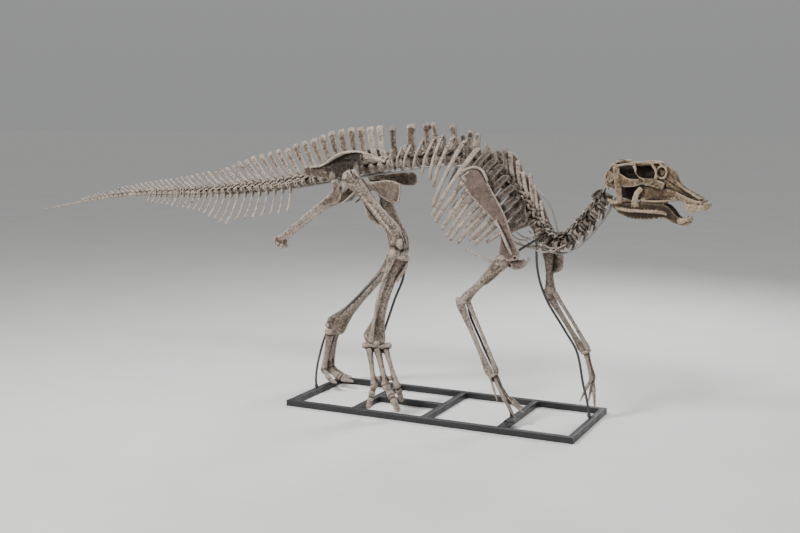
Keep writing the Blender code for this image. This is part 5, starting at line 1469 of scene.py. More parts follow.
@dataclass
class ForeLeg:
    """One fore leg: upper arm, two forearm bones and the narrow hand."""

    side: Side
    upper_finish: BoneFinish
    lower_finish: BoneFinish
    shoulder: Point
    elbow: Point
    wrist: Point
    knuckle: Point
    tips: tuple[Point, Point, Point]
    crest: float

    @property
    def out(self) -> Vector:
        """The direction away from the middle plane."""
        return SIDEWAYS * self.side.value

    def build(self) -> None:
        """Build and dress the leg."""
        self._upper()
        self._forearm()
        self._hand()

    def _upper(self) -> None:
        """Add the upper arm with its long front crest."""
        out = self.out
        bone = Shaft(self.side.put(self.shoulder), self.side.put(self.elbow), out)
        form = BoneForm(f"upper_arm_{self.side.label}", 0.0038, 2, 0.0024, tone=0.1)
        bone.loft(form, ((-0.012, 0.024, 0.032), (0.04, 0.034, 0.047), (0.12, 0.034, 0.049),
            (0.24, 0.028, 0.04), (0.42, 0.024, 0.031), (0.62, 0.023, 0.025), (0.8, 0.029, 0.028),
            (0.91, 0.038, 0.033), (0.98, 0.037, 0.028)), 22, 4)
        form.tone = 0.35
        reach = self.crest
        form.bar(bone.points((0.1, -0.004, reach * 0.5), (0.22, -0.002, reach), (0.35, 0.0, reach),
            (0.49, 0.0, reach * 0.92), (0.575, 0.0, reach * 0.3)), [(0.012, 0.022), (0.012, 0.026),
            (0.011, 0.026), (0.011, 0.022), (0.008, 0.012)], out, sides=16, steps=4)
        form.tone = -0.7
        form.bar(bone.points((0.14, 0.0, reach * 0.45), (0.32, 0.0, reach * 0.62),
            (0.52, 0.0, reach * 0.45)), [(0.009, reach * 0.3), (0.008, reach * 0.42), (0.008, reach * 0.3)],
            out, sides=16, steps=4)
        form.tone = 0.4
        form.lump(bone.point(0.035, 0.006, -0.01), (0.034, 0.03, 0.03))
        for y in (-0.02, 0.02):
            form.lump(bone.point(0.965, 0.0, 0.006) + SIDEWAYS * y, (0.028, 0.018, 0.027))
        form.cut(bar(bone.points((0.12, 0.036, 0.016), (0.36, 0.03, 0.02)), [(0.01, 0.01), (0.008, 0.009)],
            out, 12))
        form.cut(bar(bone.points((0.9, 0.03, -0.026), (1.03, 0.03, -0.022)), [(0.012, 0.008)] * 2, out, 10))
        dress(form.fuse(), self.upper_finish, f"humerus_{self.side.label}")

    def _forearm(self) -> None:
        """Add the two forearm bones; the rear one stands up behind the elbow."""
        out = self.out
        elbow, wrist = self.side.put(self.elbow), self.side.put(self.wrist)
        main = Shaft(elbow, wrist, out)
        fore, down, label = main.fore, main.down, self.side.label
        form = BoneForm(f"rear_forearm_bone_{label}", 0.0034, 2, 0.002, tone=0.1)
        ulna = Shaft(elbow - fore * 0.024 - down * 0.03 + out * 0.012, wrist - fore * 0.018 + out * 0.01,
            out)
        ulna.loft(form, ((0.0, 0.013, 0.015), (0.05, 0.02, 0.024), (0.11, 0.022, 0.028), (0.2, 0.019, 0.024),
            (0.42, 0.0155, 0.0175), (0.66, 0.015, 0.016), (0.84, 0.0175, 0.0215), (0.93, 0.0215, 0.0265),
            (0.985, 0.019, 0.023)), 20, 4)
        form.cut(lump(ulna.point(0.075, 0.0, 0.036), (0.02, 0.028, 0.018)))
        dress(form.fuse(), self.lower_finish, f"ulna_{label}")
        form = BoneForm(f"front_forearm_bone_{label}", 0.0034, 2, 0.002, tone=0.3)
        radius = Shaft(elbow + fore * 0.024 + down * 0.018 - out * 0.006, wrist + fore * 0.024 - out * 0.008,
            out)
        radius.loft(form, ((0.0, 0.0185, 0.018), (0.05, 0.0185, 0.0175), (0.14, 0.0145, 0.014, 0.0, 0.002),
            (0.36, 0.0115, 0.0115, 0.0, 0.005), (0.62, 0.012, 0.0115, 0.0, 0.005),
            (0.82, 0.0145, 0.014, 0.0, 0.003), (0.93, 0.019, 0.018), (0.985, 0.018, 0.017)), 18, 4)
        dress(form.fuse(), self.lower_finish, f"radius_{label}")

    def _hand(self) -> None:
        """Add wrist bones, three long hand bones, their fingers and the little finger."""
        out = self.out
        wrist, knuckle = self.side.put(self.wrist), self.side.put(self.knuckle)
        axis = Shaft(wrist, knuckle, out)
        fore, down = axis.fore, axis.down
        form = BoneForm(f"hand_bones_{self.side.label}", 0.003, 2, 0.0018, tone=0.1)
        form.bar([wrist - out * 0.033 + down * 0.004, wrist + down * 0.006, wrist + out * 0.033 + down
            * 0.004], [(0.028, 0.012), (0.03, 0.014), (0.028, 0.012)], fore, sides=14)
        for tip, off, half in zip(self.tips, (0.024, 0.0, -0.024), (0.014, 0.0165, 0.014)):
            end = knuckle + out * off
            form.tone = 0.15 + off * 6
            bone = Shaft(wrist + out * off * 0.62 + down * 0.006, end, out)
            bone.loft(form, ((0.0, half * 1.05, half * 1.25), (0.12, half * 0.98, half * 1.12),
                (0.5, half * 0.72, half * 0.8), (0.84, half * 0.98, half * 1.02),
                (1.0, half * 0.98, half * 0.98)), 14, 3)
            Digit(end - down * 0.006, self.side.put(tip), half * 1.06, out, (0.0, 0.48, 1.0)).build(form)
        little = wrist + out * 0.03 - fore * 0.012
        Digit(little, knuckle + out * 0.052 - fore * 0.036 - down * 0.012, 0.0105, out, (0.0, 0.52, 1.0),
            0.0).build(form)
        dress(form.fuse(), self.lower_finish, f"hand_{self.side.label}")


@dataclass(frozen=True)
class HeadFrame:
    """The head's own directions: it is turned a little about the top of the neck."""

    pivot: Point = (1.085, 0.0, 1.53)
    turn: float = math.radians(-6.0)
    stretch: float = 1.025

    @property
    def rotation(self) -> Matrix:
        """The head's turn."""
        return Matrix.Rotation(self.turn, 3, "Z")

    @property
    def across(self) -> Vector:
        """The head's sideways direction."""
        return self.rotation @ SIDEWAYS

    def point(self, x: float, y: float, z: float) -> Vector:
        """A point of the head, given as if the head were not turned."""
        offset = Vector(((x - self.pivot[0]) * self.stretch, y, z - self.pivot[2]))
        return Vector(self.pivot) + self.rotation @ offset

    def bar(self, form: BoneForm, points: tuple[Point, ...], halves: tuple[tuple[float, float], ...],
            sides: int = 14, cut: bool = False) -> None:
        """Add a bar of the head to a form, or hollow it out."""
        made = bar([self.point(*p) for p in points], list(halves), self.across, sides)
        (form.cut if cut else form.add)(made)

    def lump(self, form: BoneForm, point: Point, halves: Point, cut: bool = False) -> None:
        """Add an egg shaped form of the head to a form, or hollow it out."""
        made = lump(self.point(*point), halves, self.rotation)
        (form.cut if cut else form.add)(made)


@dataclass
class Skull:
    """The skull: roof, dome, bars round its openings, beak and tooth rows."""

    finish: BoneFinish
    tooth_finish: BoneFinish
    head: HeadFrame = field(default_factory=HeadFrame)
    tooth_count: int = 22
    # x, lowest z, highest z, half width of the closed core and snout
    core: tuple[tuple[float, ...], ...] = ((1.08, 1.545, 1.606, 0.04), (1.12, 1.54, 1.648, 0.05),
        (1.18, 1.552, 1.664, 0.05), (1.24, 1.558, 1.662, 0.046), (1.31, 1.545, 1.662, 0.04),
        (1.37, 1.505, 1.668, 0.044), (1.415, 1.47, 1.65, 0.044), (1.46, 1.452, 1.588, 0.039),
        (1.515, 1.446, 1.53, 0.034), (1.565, 1.432, 1.5, 0.04), (1.61, 1.412, 1.48, 0.055),
        (1.64, 1.404, 1.462, 0.058))
    roof: tuple[tuple[float, ...], ...] = (
        # x, top z, half width
        (1.075, 1.612, 0.030), (1.105, 1.652, 0.050), (1.140, 1.680, 0.040), (1.200, 1.676, 0.044),
        (1.240, 1.672, 0.078), (1.290, 1.668, 0.076), (1.340, 1.674, 0.062), (1.378, 1.680, 0.050),
        (1.412, 1.660, 0.040), (1.448, 1.612, 0.030))

    def build(self) -> None:
        """Build and dress the skull and its teeth."""
        form = BoneForm("skull_bones", 0.0032, 1, 0.0018)
        self._core(form)
        self._roof(form)
        for s in (-1, 1):
            self._cheek(form, s)
            self._beak(form, s)
        self._openings(form)
        dress(form.fuse(), self.finish, "skull")
        self._teeth()

    def _core(self, form: BoneForm) -> None:
        """Add the closed middle of the skull, painted very dark as the shade seen through the openings."""
        # Painted shade: the rear of the core, seen through the openings, is made very dark.
        for tone, part in ((-1.7, self.core[:6]), (0.2, self.core[5:])):
            form.tone = tone
            self.head.bar(form, tuple((x, 0.0, (low + high) / 2) for x, low, high, _ in part),
                tuple((width, (high - low) / 2) for _, low, high, width in part), 20)
        # Painted shade: the low bar in the middle, under the cheeks, is made very dark too.
        form.tone = -1.7
        self.head.bar(form, ((1.165, 0.0, 1.505), (1.23, 0.0, 1.5), (1.3, 0.0, 1.49)),
            ((0.026, 0.05), (0.028, 0.058), (0.026, 0.044)))
        form.tone = -0.1
        self.head.bar(form, ((1.06, 0.0, 1.535), (1.13, 0.0, 1.545), (1.24, 0.0, 1.56)),
            ((0.018, 0.016), (0.034, 0.036), (0.03, 0.03)))
        for s in (-1, 1):
            self.head.bar(form, ((1.075, s * 0.02, 1.59), (1.098, s * 0.052, 1.585),
                (1.122, s * 0.072, 1.56)), ((0.01, 0.026), (0.01, 0.03), (0.008, 0.022)))

    def _roof(self, form: BoneForm) -> None:
        """Add the roof plate, the rear crest and the low dome over the snout."""
        form.tone = 0.1
        self.head.bar(form, tuple((x, 0.0, top - 0.01) for x, top, _ in self.roof),
            tuple((width, 0.01) for *_, width in self.roof), 20)
        form.tone = 0.3
        self.head.bar(form, ((1.098, 0.0, 1.65), (1.15, 0.0, 1.678), (1.225, 0.0, 1.672)),
            ((0.012, 0.012), (0.011, 0.01), (0.018, 0.008)))
        self.head.lump(form, (1.372, 0.0, 1.655), (0.042, 0.036, 0.026))

    def _cheek(self, form: BoneForm, s: int) -> None:
        """Add one side's bars and jaw post.

        Args:
            form: The form that takes them.
            s: The sign of y.
        """
        bars = ((0.15, ((1.112, s * 0.06, 1.654), (1.158, s * 0.082, 1.652), (1.2, s * 0.087, 1.66),
            (1.25, s * 0.084, 1.664)), ((0.009, 0.009), (0.009, 0.008), (0.009, 0.008), (0.012, 0.009))),
            (0.3, ((1.254, s * 0.083, 1.662), (1.266, s * 0.088, 1.632), (1.288, s * 0.088, 1.6),
            (1.318, s * 0.083, 1.572)), ((0.009, 0.013), (0.008, 0.011), (0.008, 0.012), (0.009, 0.015))),
            (0.2, ((1.146, s * 0.082, 1.644), (1.158, s * 0.09, 1.58), (1.168, s * 0.09, 1.505),
            (1.178, s * 0.085, 1.44)), ((0.012, 0.021), (0.011, 0.021), (0.012, 0.02), (0.018, 0.018))),
            (0.1, ((1.168, s * 0.088, 1.566), (1.215, s * 0.091, 1.553), (1.26, s * 0.09, 1.553),
            (1.308, s * 0.082, 1.561), (1.36, s * 0.068, 1.556), (1.42, s * 0.052, 1.534)),
            ((0.007, 0.04), (0.007, 0.03), (0.008, 0.024), (0.01, 0.018), (0.011, 0.024), (0.009, 0.026))),
            (0.35, ((1.258, s * 0.076, 1.667), (1.3, s * 0.078, 1.673), (1.345, s * 0.072, 1.671),
            (1.368, s * 0.064, 1.645), (1.382, s * 0.058, 1.61), (1.376, s * 0.058, 1.575)),
            ((0.01, 0.008), (0.009, 0.007), (0.01, 0.007), (0.01, 0.009), (0.01, 0.009), (0.01, 0.012))),
            (-0.6, ((1.272, s * 0.044, 1.5), (1.33, s * 0.048, 1.49), (1.42, s * 0.042, 1.49),
            (1.5, s * 0.032, 1.482)), ((0.012, 0.028), (0.017, 0.044), (0.016, 0.038), (0.01, 0.026))),
            (0.45, ((1.285, s * 0.056, 1.453), (1.345, s * 0.062, 1.446), (1.43, s * 0.055, 1.45),
            (1.5, s * 0.042, 1.46)), ((0.008, 0.006), (0.009, 0.007), (0.009, 0.007), (0.007, 0.006))),
            (0.1, ((1.1, s * 0.02, 1.64), (1.072, s * 0.034, 1.6), (1.068, s * 0.044, 1.55),
            (1.092, s * 0.05, 1.505)), ((0.006, 0.007), (0.005, 0.006), (0.005, 0.006), (0.006, 0.008))),)
        for tone, points, halves in bars:
            form.tone = tone
            self.head.bar(form, points, halves)

    def _beak(self, form: BoneForm, s: int) -> None:
        """Add one side of the snout and its broad beak.

        Args:
            form: The form that takes them.
            s: The sign of y.
        """
        form.tone = 0.15
        self.head.bar(form, ((1.42, s * 0.018, 1.646), (1.46, s * 0.016, 1.59), (1.52, s * 0.016, 1.53),
            (1.58, s * 0.02, 1.494), (1.632, s * 0.03, 1.468)), ((0.016, 0.01), (0.014, 0.01),
            (0.013, 0.009), (0.016, 0.009), (0.02, 0.008)))
        form.tone = 0.1
        self.head.bar(form, ((1.44, s * 0.046, 1.5), (1.5, s * 0.04, 1.484), (1.56, s * 0.048, 1.462),
            (1.605, s * 0.062, 1.452), (1.645, s * 0.062, 1.45)), ((0.008, 0.02), (0.008, 0.019),
            (0.009, 0.017), (0.008, 0.013), (0.008, 0.01)))
        form.tone = 0.9
        loop = [math.radians(45 * k) for k in range(9)]
        self.head.bar(form, tuple((1.408 + 0.029 * math.cos(a), s * 0.047,
            1.617 + 0.035 * math.sin(a)) for a in loop), ((0.006, 0.006),) * 9, 10)
        form.tone = 1.1
        self.head.bar(form, ((1.55, s * 0.044, 1.432), (1.58, s * 0.059, 1.419), (1.622, s * 0.064, 1.418),
            (1.655, s * 0.054, 1.428), (1.672, s * 0.028, 1.434), (1.676, 0.0, 1.436)),
            ((0.006, 0.014), (0.007, 0.029), (0.007, 0.028), (0.007, 0.022), (0.007, 0.016), (0.007, 0.014)))

    def _openings(self, form: BoneForm) -> None:
        """Hollow out the eye sockets, temple openings, nose fossa and slits."""
        for s in (-1, 1):
            self.head.lump(form, (1.319, s * 0.078, 1.622), (0.05, 0.05, 0.041), True)
            self.head.lump(form, (1.226, s * 0.088, 1.619), (0.037, 0.054, 0.037), True)
            self.head.lump(form, (1.19, s * 0.038, 1.676), (0.034, 0.024, 0.03), True)
            self.head.lump(form, (1.408, s * 0.058, 1.617), (0.025, 0.02, 0.031), True)
            self.head.bar(form, ((1.432, s * 0.054, 1.578), (1.49, s * 0.046, 1.538), (1.56, s * 0.046, 1.5),
                (1.64, s * 0.07, 1.474)), ((0.014, 0.011), (0.018, 0.011), (0.018, 0.009), (0.014, 0.006)),
                12, True)
            self.head.lump(form, (1.6, s * 0.022, 1.404), (0.05, 0.03, 0.022), True)
        self.head.lump(form, (1.47, 0.0, 1.43), (0.12, 0.022, 0.04), True)

    def _teeth(self) -> None:
        """Add the upper tooth rows: many slim, close teeth on both sides."""
        form = BoneForm("upper_teeth", 0.0022, 1, 0.0004, tone=0.5)
        for s in (-1, 1):
            for k in range(self.tooth_count):
                share = k / (self.tooth_count - 1)
                x = 1.3 + 0.19 * share
                y = s * (0.058 - 0.016 * share)
                z = 1.448 + 0.012 * share
                self.head.bar(form, ((x, y, z + 0.016), (x, y * 1.03, z - 0.002), (x + 0.001, y, z - 0.015)),
                    ((0.0045, 0.0034), (0.005, 0.0036), (0.0026, 0.0022)), 8)
        dress(form.fuse(), self.tooth_finish, "skull")


@dataclass
class Jaw:
    """The lower jaw: two deep branches, their upright processes, beak scoop and teeth."""

    finish: BoneFinish
    tooth_finish: BoneFinish
    head: HeadFrame = field(default_factory=HeadFrame)
    tooth_count: int = 20

    def build(self) -> None:
        """Build and dress the jaw and its teeth."""
        form = BoneForm("lower_jaw", 0.0032, 1, 0.0018)
        for s in (-1, 1):
            self._branch(form, s)
        form.tone = 0.2
        self.head.bar(form, ((1.5, 0.0, 1.324), (1.54, 0.0, 1.316), (1.57, 0.0, 1.33)),
            ((0.028, 0.009), (0.042, 0.01), (0.034, 0.01)))
        self.head.lump(form, (1.545, 0.0, 1.352), (0.04, 0.03, 0.02), True)
        dress(form.fuse(), self.finish, "mandible")
        self._teeth()

    def _branch(self, form: BoneForm, s: int) -> None:
        """Add one branch, with its hooked process.

        Args:
            form: The form that takes it.
            s: The sign of y.
        """
        # Painted shade: the branch is made dark for its shaded lower side under the bulge.
        form.tone = -1.1
        self.head.bar(form, ((1.118, s * 0.086, 1.436), (1.15, s * 0.085, 1.416), (1.19, s * 0.078, 1.396),
            (1.236, s * 0.072, 1.388), (1.31, s * 0.06, 1.387), (1.38, s * 0.051, 1.391),
            (1.425, s * 0.044, 1.388), (1.461, s * 0.038, 1.367), (1.485, s * 0.034, 1.346),
            (1.53, s * 0.026, 1.33)), ((0.012, 0.012), (0.013, 0.021), (0.012, 0.033), (0.012, 0.043),
            (0.013, 0.046), (0.013, 0.043), (0.012, 0.04), (0.011, 0.03), (0.011, 0.024), (0.011, 0.018)),
            18)
        # Painted highlight: the bulging ledge along the top of the branch is made light.
        form.tone = 0.95
        self.head.bar(form, ((1.16, s * 0.09, 1.4), (1.215, s * 0.088, 1.39), (1.3, s * 0.078, 1.386),
            (1.385, s * 0.062, 1.386), (1.44, s * 0.05, 1.376)), ((0.008, 0.01), (0.009, 0.011),
            (0.01, 0.01), (0.008, 0.01), (0.006, 0.009)))
        # Painted rim light: the lower rim is made lighter than the shaded branch.
        form.tone = -0.3
        self.head.bar(form, ((1.165, s * 0.08, 1.376), (1.236, s * 0.072, 1.345), (1.32, s * 0.06, 1.341),
            (1.425, s * 0.048, 1.352), (1.47, s * 0.038, 1.336)), ((0.007, 0.006),) * 5)
        form.tone = 0.85
        self.head.bar(form, ((1.262, s * 0.07, 1.4), (1.264, s * 0.075, 1.45), (1.276, s * 0.077, 1.492),
            (1.3, s * 0.077, 1.521)), ((0.009, 0.025), (0.008, 0.019), (0.008, 0.016), (0.008, 0.017)))
        self.head.bar(form, ((1.11, s * 0.086, 1.446), (1.14, s * 0.086, 1.43), (1.18, s * 0.082, 1.436)),
            ((0.012, 0.01), (0.015, 0.012), (0.009, 0.012)))
        self.head.bar(form, ((1.495, s * 0.022, 1.338), (1.53, s * 0.044, 1.336), (1.562, s * 0.04, 1.346)),
            ((0.01, 0.014), (0.009, 0.016), (0.008, 0.012)))
        self.head.bar(form, ((1.56, s * 0.04, 1.346), (1.572, s * 0.02, 1.342), (1.575, 0.0, 1.34)),
            ((0.007, 0.013),) * 3)

    def _teeth(self) -> None:
        """Add the lower tooth rows and the notched rim of the scoop."""
        form = BoneForm("lower_teeth", 0.0022, 1, 0.0004, tone=0.45)
        for s in (-1, 1):
            for k in range(self.tooth_count):
                share = k / (self.tooth_count - 1)
                x = 1.262 + 0.16 * share
                self.head.bar(form, ((x, s * (0.06 - 0.012 * share), 1.412), (x, s * (0.055 - 0.012 * share),
                    1.43), (x, s * (0.052 - 0.012 * share), 1.442)), ((0.0045, 0.0034), (0.0045, 0.0034),
                    (0.0024, 0.0022)), 8)
            for k in range(6):
                angle = math.radians(12 + 26 * k)
                x, y = 1.535 + 0.042 * math.sin(angle), s * 0.044 * math.cos(angle)
                self.head.bar(form, ((x, y, 1.34), (x, y, 1.352), (x, y, 1.362)), ((0.005, 0.005),
                    (0.0048, 0.0048), (0.0024, 0.0024)), 8)
        dress(form.fuse(), self.tooth_finish, "mandible")


@dataclass
class Stand:
    """The steel base of square tube, with the rods that carry the bones."""

    column: Column
    paint: SteelFinish
    rod_paint: SteelFinish
    bare: SteelFinish
    half_length: float = 1.0
    half_width: float = 0.378
    tube: float = 0.04
    wall: float = 0.003
    corner: float = 0.004
    rod_radius: float = 0.008
    thin_radius: float = 0.0055

    def build(self) -> None:
        """Build and dress the base and every rod."""
        self._base()
        self._foot_plate()
        self._leg_rods()
        self._back_rod()
        self._neck_rods()

    def _tube(self, low: Vector, high: Vector) -> Mesh:
        """A square tube with rounded edges between two corners of its box.

        Args:
            low: The lowest corner.
            high: The highest corner.

        Returns:
            The tube as a bmesh.
        """
        bm = bmesh.new()
        size = high - low
        place = Matrix.Translation((low + high) / 2) @ Matrix.Diagonal([*size, 1.0])
        bmesh.ops.create_cube(bm, size=1.0, matrix=place)
        axis = max(range(3), key=lambda i: size[i])
        long_edges = [e for e in bm.edges if abs((e.verts[0].co - e.verts[1].co)[axis]) > self.tube * 1.2]
        bmesh.ops.bevel(bm, geom=long_edges, offset=self.corner, offset_type="OFFSET", affect="EDGES",
            segments=4, profile=0.5, material=-1)
        ends = [f for f in bm.faces if abs(f.normal[axis]) > 0.9]
        bmesh.ops.inset_region(bm, faces=ends, thickness=self.wall, use_even_offset=True)
        return bm

    def _steel(self, name: str, bm: Mesh, finish: SteelFinish, *nodes: str) -> None:
        """Finish a steel piece."""
        obj = object_of(name, bm)
        obj.data.shade_smooth()
        obj.data.set_sharp_from_angle(angle=math.radians(50.0))
        dress(obj, finish, *nodes)

    def _weld(self, a: Vector, b: Vector, count: int = 9) -> Mesh:
        """A weld bead: a row of small overlapping lumps."""
        bm = bmesh.new()
        for k in range(count):
            spot = a.lerp(b, (k + 0.5) / count)
            size = Matrix.Diagonal([0.0042, 0.0042, 0.0036, 1.0])
            bmesh.ops.create_icosphere(bm, subdivisions=2, radius=1.0,
                matrix=Matrix.Translation(spot) @ size)
        return bm

    def _base(self) -> None:
        """Build rails, cross members, link and the welds at their joints."""
        t, w, length = self.tube, self.half_width, self.half_length
        for label, y in (("right", -w), ("left", w - t)):
            self._steel(f"rail_{label}", self._tube(Vector((-length, y, 0.0)), Vector((length, y + t, t))),
                self.paint, f"stand_rail_{label}")
        inner = w - t
        crosses = (("end_rear", -length + t / 2), ("cross_rear", -0.5), ("cross_middle", 0.0),
            ("cross_front", 0.52), ("end_front", length - t / 2))
        for name, x in crosses:
            low, high = Vector((x - t / 2, -inner, 0.0)), Vector((x + t / 2, inner, t))
            self._steel(name, self._tube(low, high), self.paint, f"stand_{name}")
        link = self._tube(Vector((-0.5 + t / 2, -t / 2, 0.0)), Vector((-t / 2, t / 2, t)))
        self._steel("link", link, self.paint, "stand_link")
        beads = bmesh.new()
        for _, x in crosses:
            for y in (-inner + 0.001, inner - 0.001):
                for dx in (-t / 2, t / 2):
                    if abs(x + dx) < length - 0.002:
                        BoneForm._join(self._weld(Vector((x + dx, y, 0.004)),
                            Vector((x + dx, y, t - 0.004))), beads)
                BoneForm._join(self._weld(Vector((x - t / 2 + 0.003, y, t - 0.0015)),
                    Vector((x + t / 2 - 0.003, y, t - 0.0015))), beads)
        self._steel("welds", beads, self.paint, "stand_cross_middle")

    def _foot_plate(self) -> None:
        """Build the small plate under the right front foot, with its two bolts."""
        bm = bmesh.new()
        low, high = Vector((0.505, -0.235, self.tube)), Vector((0.575, -0.125, self.tube + 0.006))
        place = Matrix.Translation((low + high) / 2) @ Matrix.Diagonal([*(high - low), 1.0])
        bmesh.ops.create_cube(bm, size=1.0, matrix=place)
        bmesh.ops.bevel(bm, geom=bm.edges[:], offset=0.0012, offset_type="OFFSET", affect="EDGES",
            segments=2, profile=0.5, material=-1)
        for y in (-0.222, -0.138):
            head = Matrix.Translation((0.517, y, self.tube + 0.0085))
            bmesh.ops.create_cone(bm, cap_ends=True, segments=6, radius1=0.0065, radius2=0.0062, depth=0.005,
                matrix=head)
        self._steel("foot_plate", bm, self.paint, "stand_foot_plate")

    def _rod(self, name: str, route: tuple[Point, ...], radius: float, finish: SteelFinish, node: str,
            steps: int = 8) -> None:
        """Build one bent rod with a collar at its foot."""
        points = [Vector(p) for p in route]
        bm = bmesh.new()
        BoneForm._join(bar(points, [(radius, radius)] * len(points), SIDEWAYS, 16, steps, False), bm)
        if points[0].z < 0.06:
            up = (points[1] - points[0]).normalized()
            low = points[0] + up * 0.004
            BoneForm._join(bar([low, low + up * 0.02], [(radius * 1.55, radius * 1.55)] * 2, SIDEWAYS, 16, 2,
                False), bm)
        self._steel(name, bm, finish, node)

    def _leg_rods(self) -> None:
        """Build the four rods that carry the legs."""
        t = self.tube
        routes = {"hind_left": ((-0.985, 0.0, t), (-1.0, 0.02, 0.12), (-1.045, 0.15, 0.24),
            (-0.985, 0.165, 0.42), (-0.865, 0.165, 0.56), (-0.7, 0.165, 0.72), (-0.52, 0.16, 0.905),
            (-0.455, 0.15, 1.02), (-0.505, 0.135, 1.2), (-0.62, 0.06, 1.48)), "fore_left": ((0.965, 0.09, t),
            (0.935, 0.13, 0.14), (0.895, 0.168, 0.24), (0.85, 0.172, 0.438), (0.765, 0.172, 0.575),
            (0.64, 0.165, 0.77), (0.6, 0.1, 0.96), (0.62, 0.0, 1.19)), "hind_right": ((-0.42, -0.004, t),
            (-0.425, -0.06, 0.22), (-0.385, -0.175, 0.44), (-0.3, -0.165, 0.72), (-0.232, -0.14, 0.95),
            (-0.33, -0.13, 1.2), (-0.59, -0.045, 1.49)), "fore_right": ((0.52, -0.11, t),
            (0.495, -0.145, 0.14), (0.44, -0.165, 0.3), (0.325, -0.165, 0.52), (0.235, -0.17, 0.76),
            (0.36, -0.165, 0.92), (0.475, -0.12, 1.06), (0.62, -0.02, 1.17)),}
        for label, route in routes.items():
            self._rod(f"rod_{label}", route, self.rod_radius, self.rod_paint, f"stand_rod_{label}")

    def _back_rod(self) -> None:
        """Build the rod under the vertebral column and the thin one at the chest's front."""
        aside: Table = ((-1.1, 0.02), (-0.8, 0.0))
        below: Table = ((-1.1, 0.7), (-0.8, 1.0))
        route = []
        for k in range(14):
            x = -1.75 + 2.09 * k / 13
            seat = self.column.seat(x)
            half = at(self.column.centrum_half, x)
            route.append(tuple(seat.point(0.0, at(aside, x), -half * at(below, x) - 0.009)))
        self._rod("rod_back", tuple(route), self.rod_radius, self.bare, "stand_rod_back", 4)
        front = ((0.612, 0.0, 1.492), (0.673, 0.0, 1.435), (0.719, 0.0, 1.36), (0.743, 0.0, 1.294),
            (0.758, 0.0, 1.24), (0.784, 0.0, 1.196))
        self._rod("rod_front", front, self.thin_radius, self.bare, "stand_rod_front")

    def _neck_rods(self) -> None:
        """Build the two thin bare rods under the neck."""
        below: Table = ((0.68, 0.042), (0.76, 0.052), (0.87, 0.066), (1.0, 0.06), (1.08, 0.046))
        for label, y in (("right", -0.018), ("left", 0.018)):
            route = []
            for k in range(8):
                x = 0.675 + 0.407 * k / 7
                route.append(tuple(self.column.seat(x).point(0.0, y, -at(below, x))))
            self._rod(f"rod_neck_{label}", tuple(route), self.thin_radius, self.bare,
                f"stand_rod_neck_{label}", 5)


@dataclass
class Studio:
    """Pale floor, soft lights and the camera of the photo."""

    camera_place: Point = (2.832, -6.51, 1.96)
    camera_turn: Point = (82.01, 0.0, 25.91)
    lens: float = 49.2
    floor: Point = (0.74, 0.735, 0.72)
    backdrop: Point = (0.8, 0.805, 0.81)
    backdrop_strength: float = 0.55
    horizon_share: float = 0.7
    floor_half: float = 90.0
    # Name, place, aim, size, power
    lights: tuple[tuple[str, Point, Point, float, float], ...] = (("key", (-2.2, -3.6, 5.2),
        (-0.2, 0.0, 0.9), 1.4, 430.0), ("fill", (4.6, -3.4, 2.6), (0.3, 0.0, 0.9), 2.8, 60.0),
        ("rim", (0.8, 4.4, 4.2), (-0.2, 0.0, 1.0), 2.0, 260.0))

    def build(self) -> None:
        """Build floor, lights, world and camera."""
        self._floor()
        self._world()
        for name, place, aim, size, power in self.lights:
            data = bpy.data.lights.new(name, "AREA")
            data.shape = "DISK"
            data.size = size
            data.energy = power
            light = bpy.data.objects.new(name, data)
            light.location = place
            light.rotation_euler = (Vector(aim) - Vector(place)).to_track_quat("-Z", "Y").to_euler()
            bpy.context.scene.collection.objects.link(light)
        data = bpy.data.cameras.new("camera")
        data.lens = self.lens
        data.sensor_width = 36.0
        data.clip_end = 200.0
        camera = bpy.data.objects.new("camera", data)
        camera.location = self.camera_place
        camera.rotation_euler = Euler([math.radians(a) for a in self.camera_turn])
        bpy.context.scene.collection.objects.link(camera)
        bpy.context.scene.camera = camera

    def _floor(self) -> None:
        """Build the wide pale floor."""
        bm = bmesh.new()
        bmesh.ops.create_grid(bm, x_segments=1, y_segments=1, size=self.floor_half)
        floor = object_of("floor", bm)
        material = bpy.data.materials.new("studio_floor")
        material.use_nodes = True
        nodes = Nodes(material.node_tree)
        shader = material.node_tree.nodes["Principled BSDF"]
        where = nodes.add("ShaderNodeTexCoord").outputs["Object"]
        cloud = nodes.spread(nodes.noise(where, 1.6, 4.0), 0.3, 0.7)
        low = tuple(c * 0.96 for c in self.floor)
        nodes.feed(shader.inputs["Base Color"], nodes.mix(cloud, (*self.floor, 1.0), (*low, 1.0)))
        shader.inputs["Roughness"].default_value = 0.75
        floor.data.materials.append(material)

    def _world(self) -> None:
        """Set a pale surrounding that is as bright as the far floor at the horizon."""
        world = bpy.data.worlds.new("surrounding")
        world.use_nodes = True
        nodes = Nodes(world.node_tree)
        shader = world.node_tree.nodes["Background"]
        split = nodes.add("ShaderNodeSeparateXYZ")
        nodes.feed(split.inputs[0], nodes.add("ShaderNodeTexCoord").outputs["Generated"])
        height = split.outputs[2]
        low = tuple(c * self.horizon_share for c in self.backdrop)
        nodes.feed(shader.inputs["Color"], nodes.mix(nodes.spread(height, 0.0, 0.55), (*low, 1.0),
            (*self.backdrop, 1.0)))
        shader.inputs["Strength"].default_value = self.backdrop_strength
        bpy.context.scene.world = world


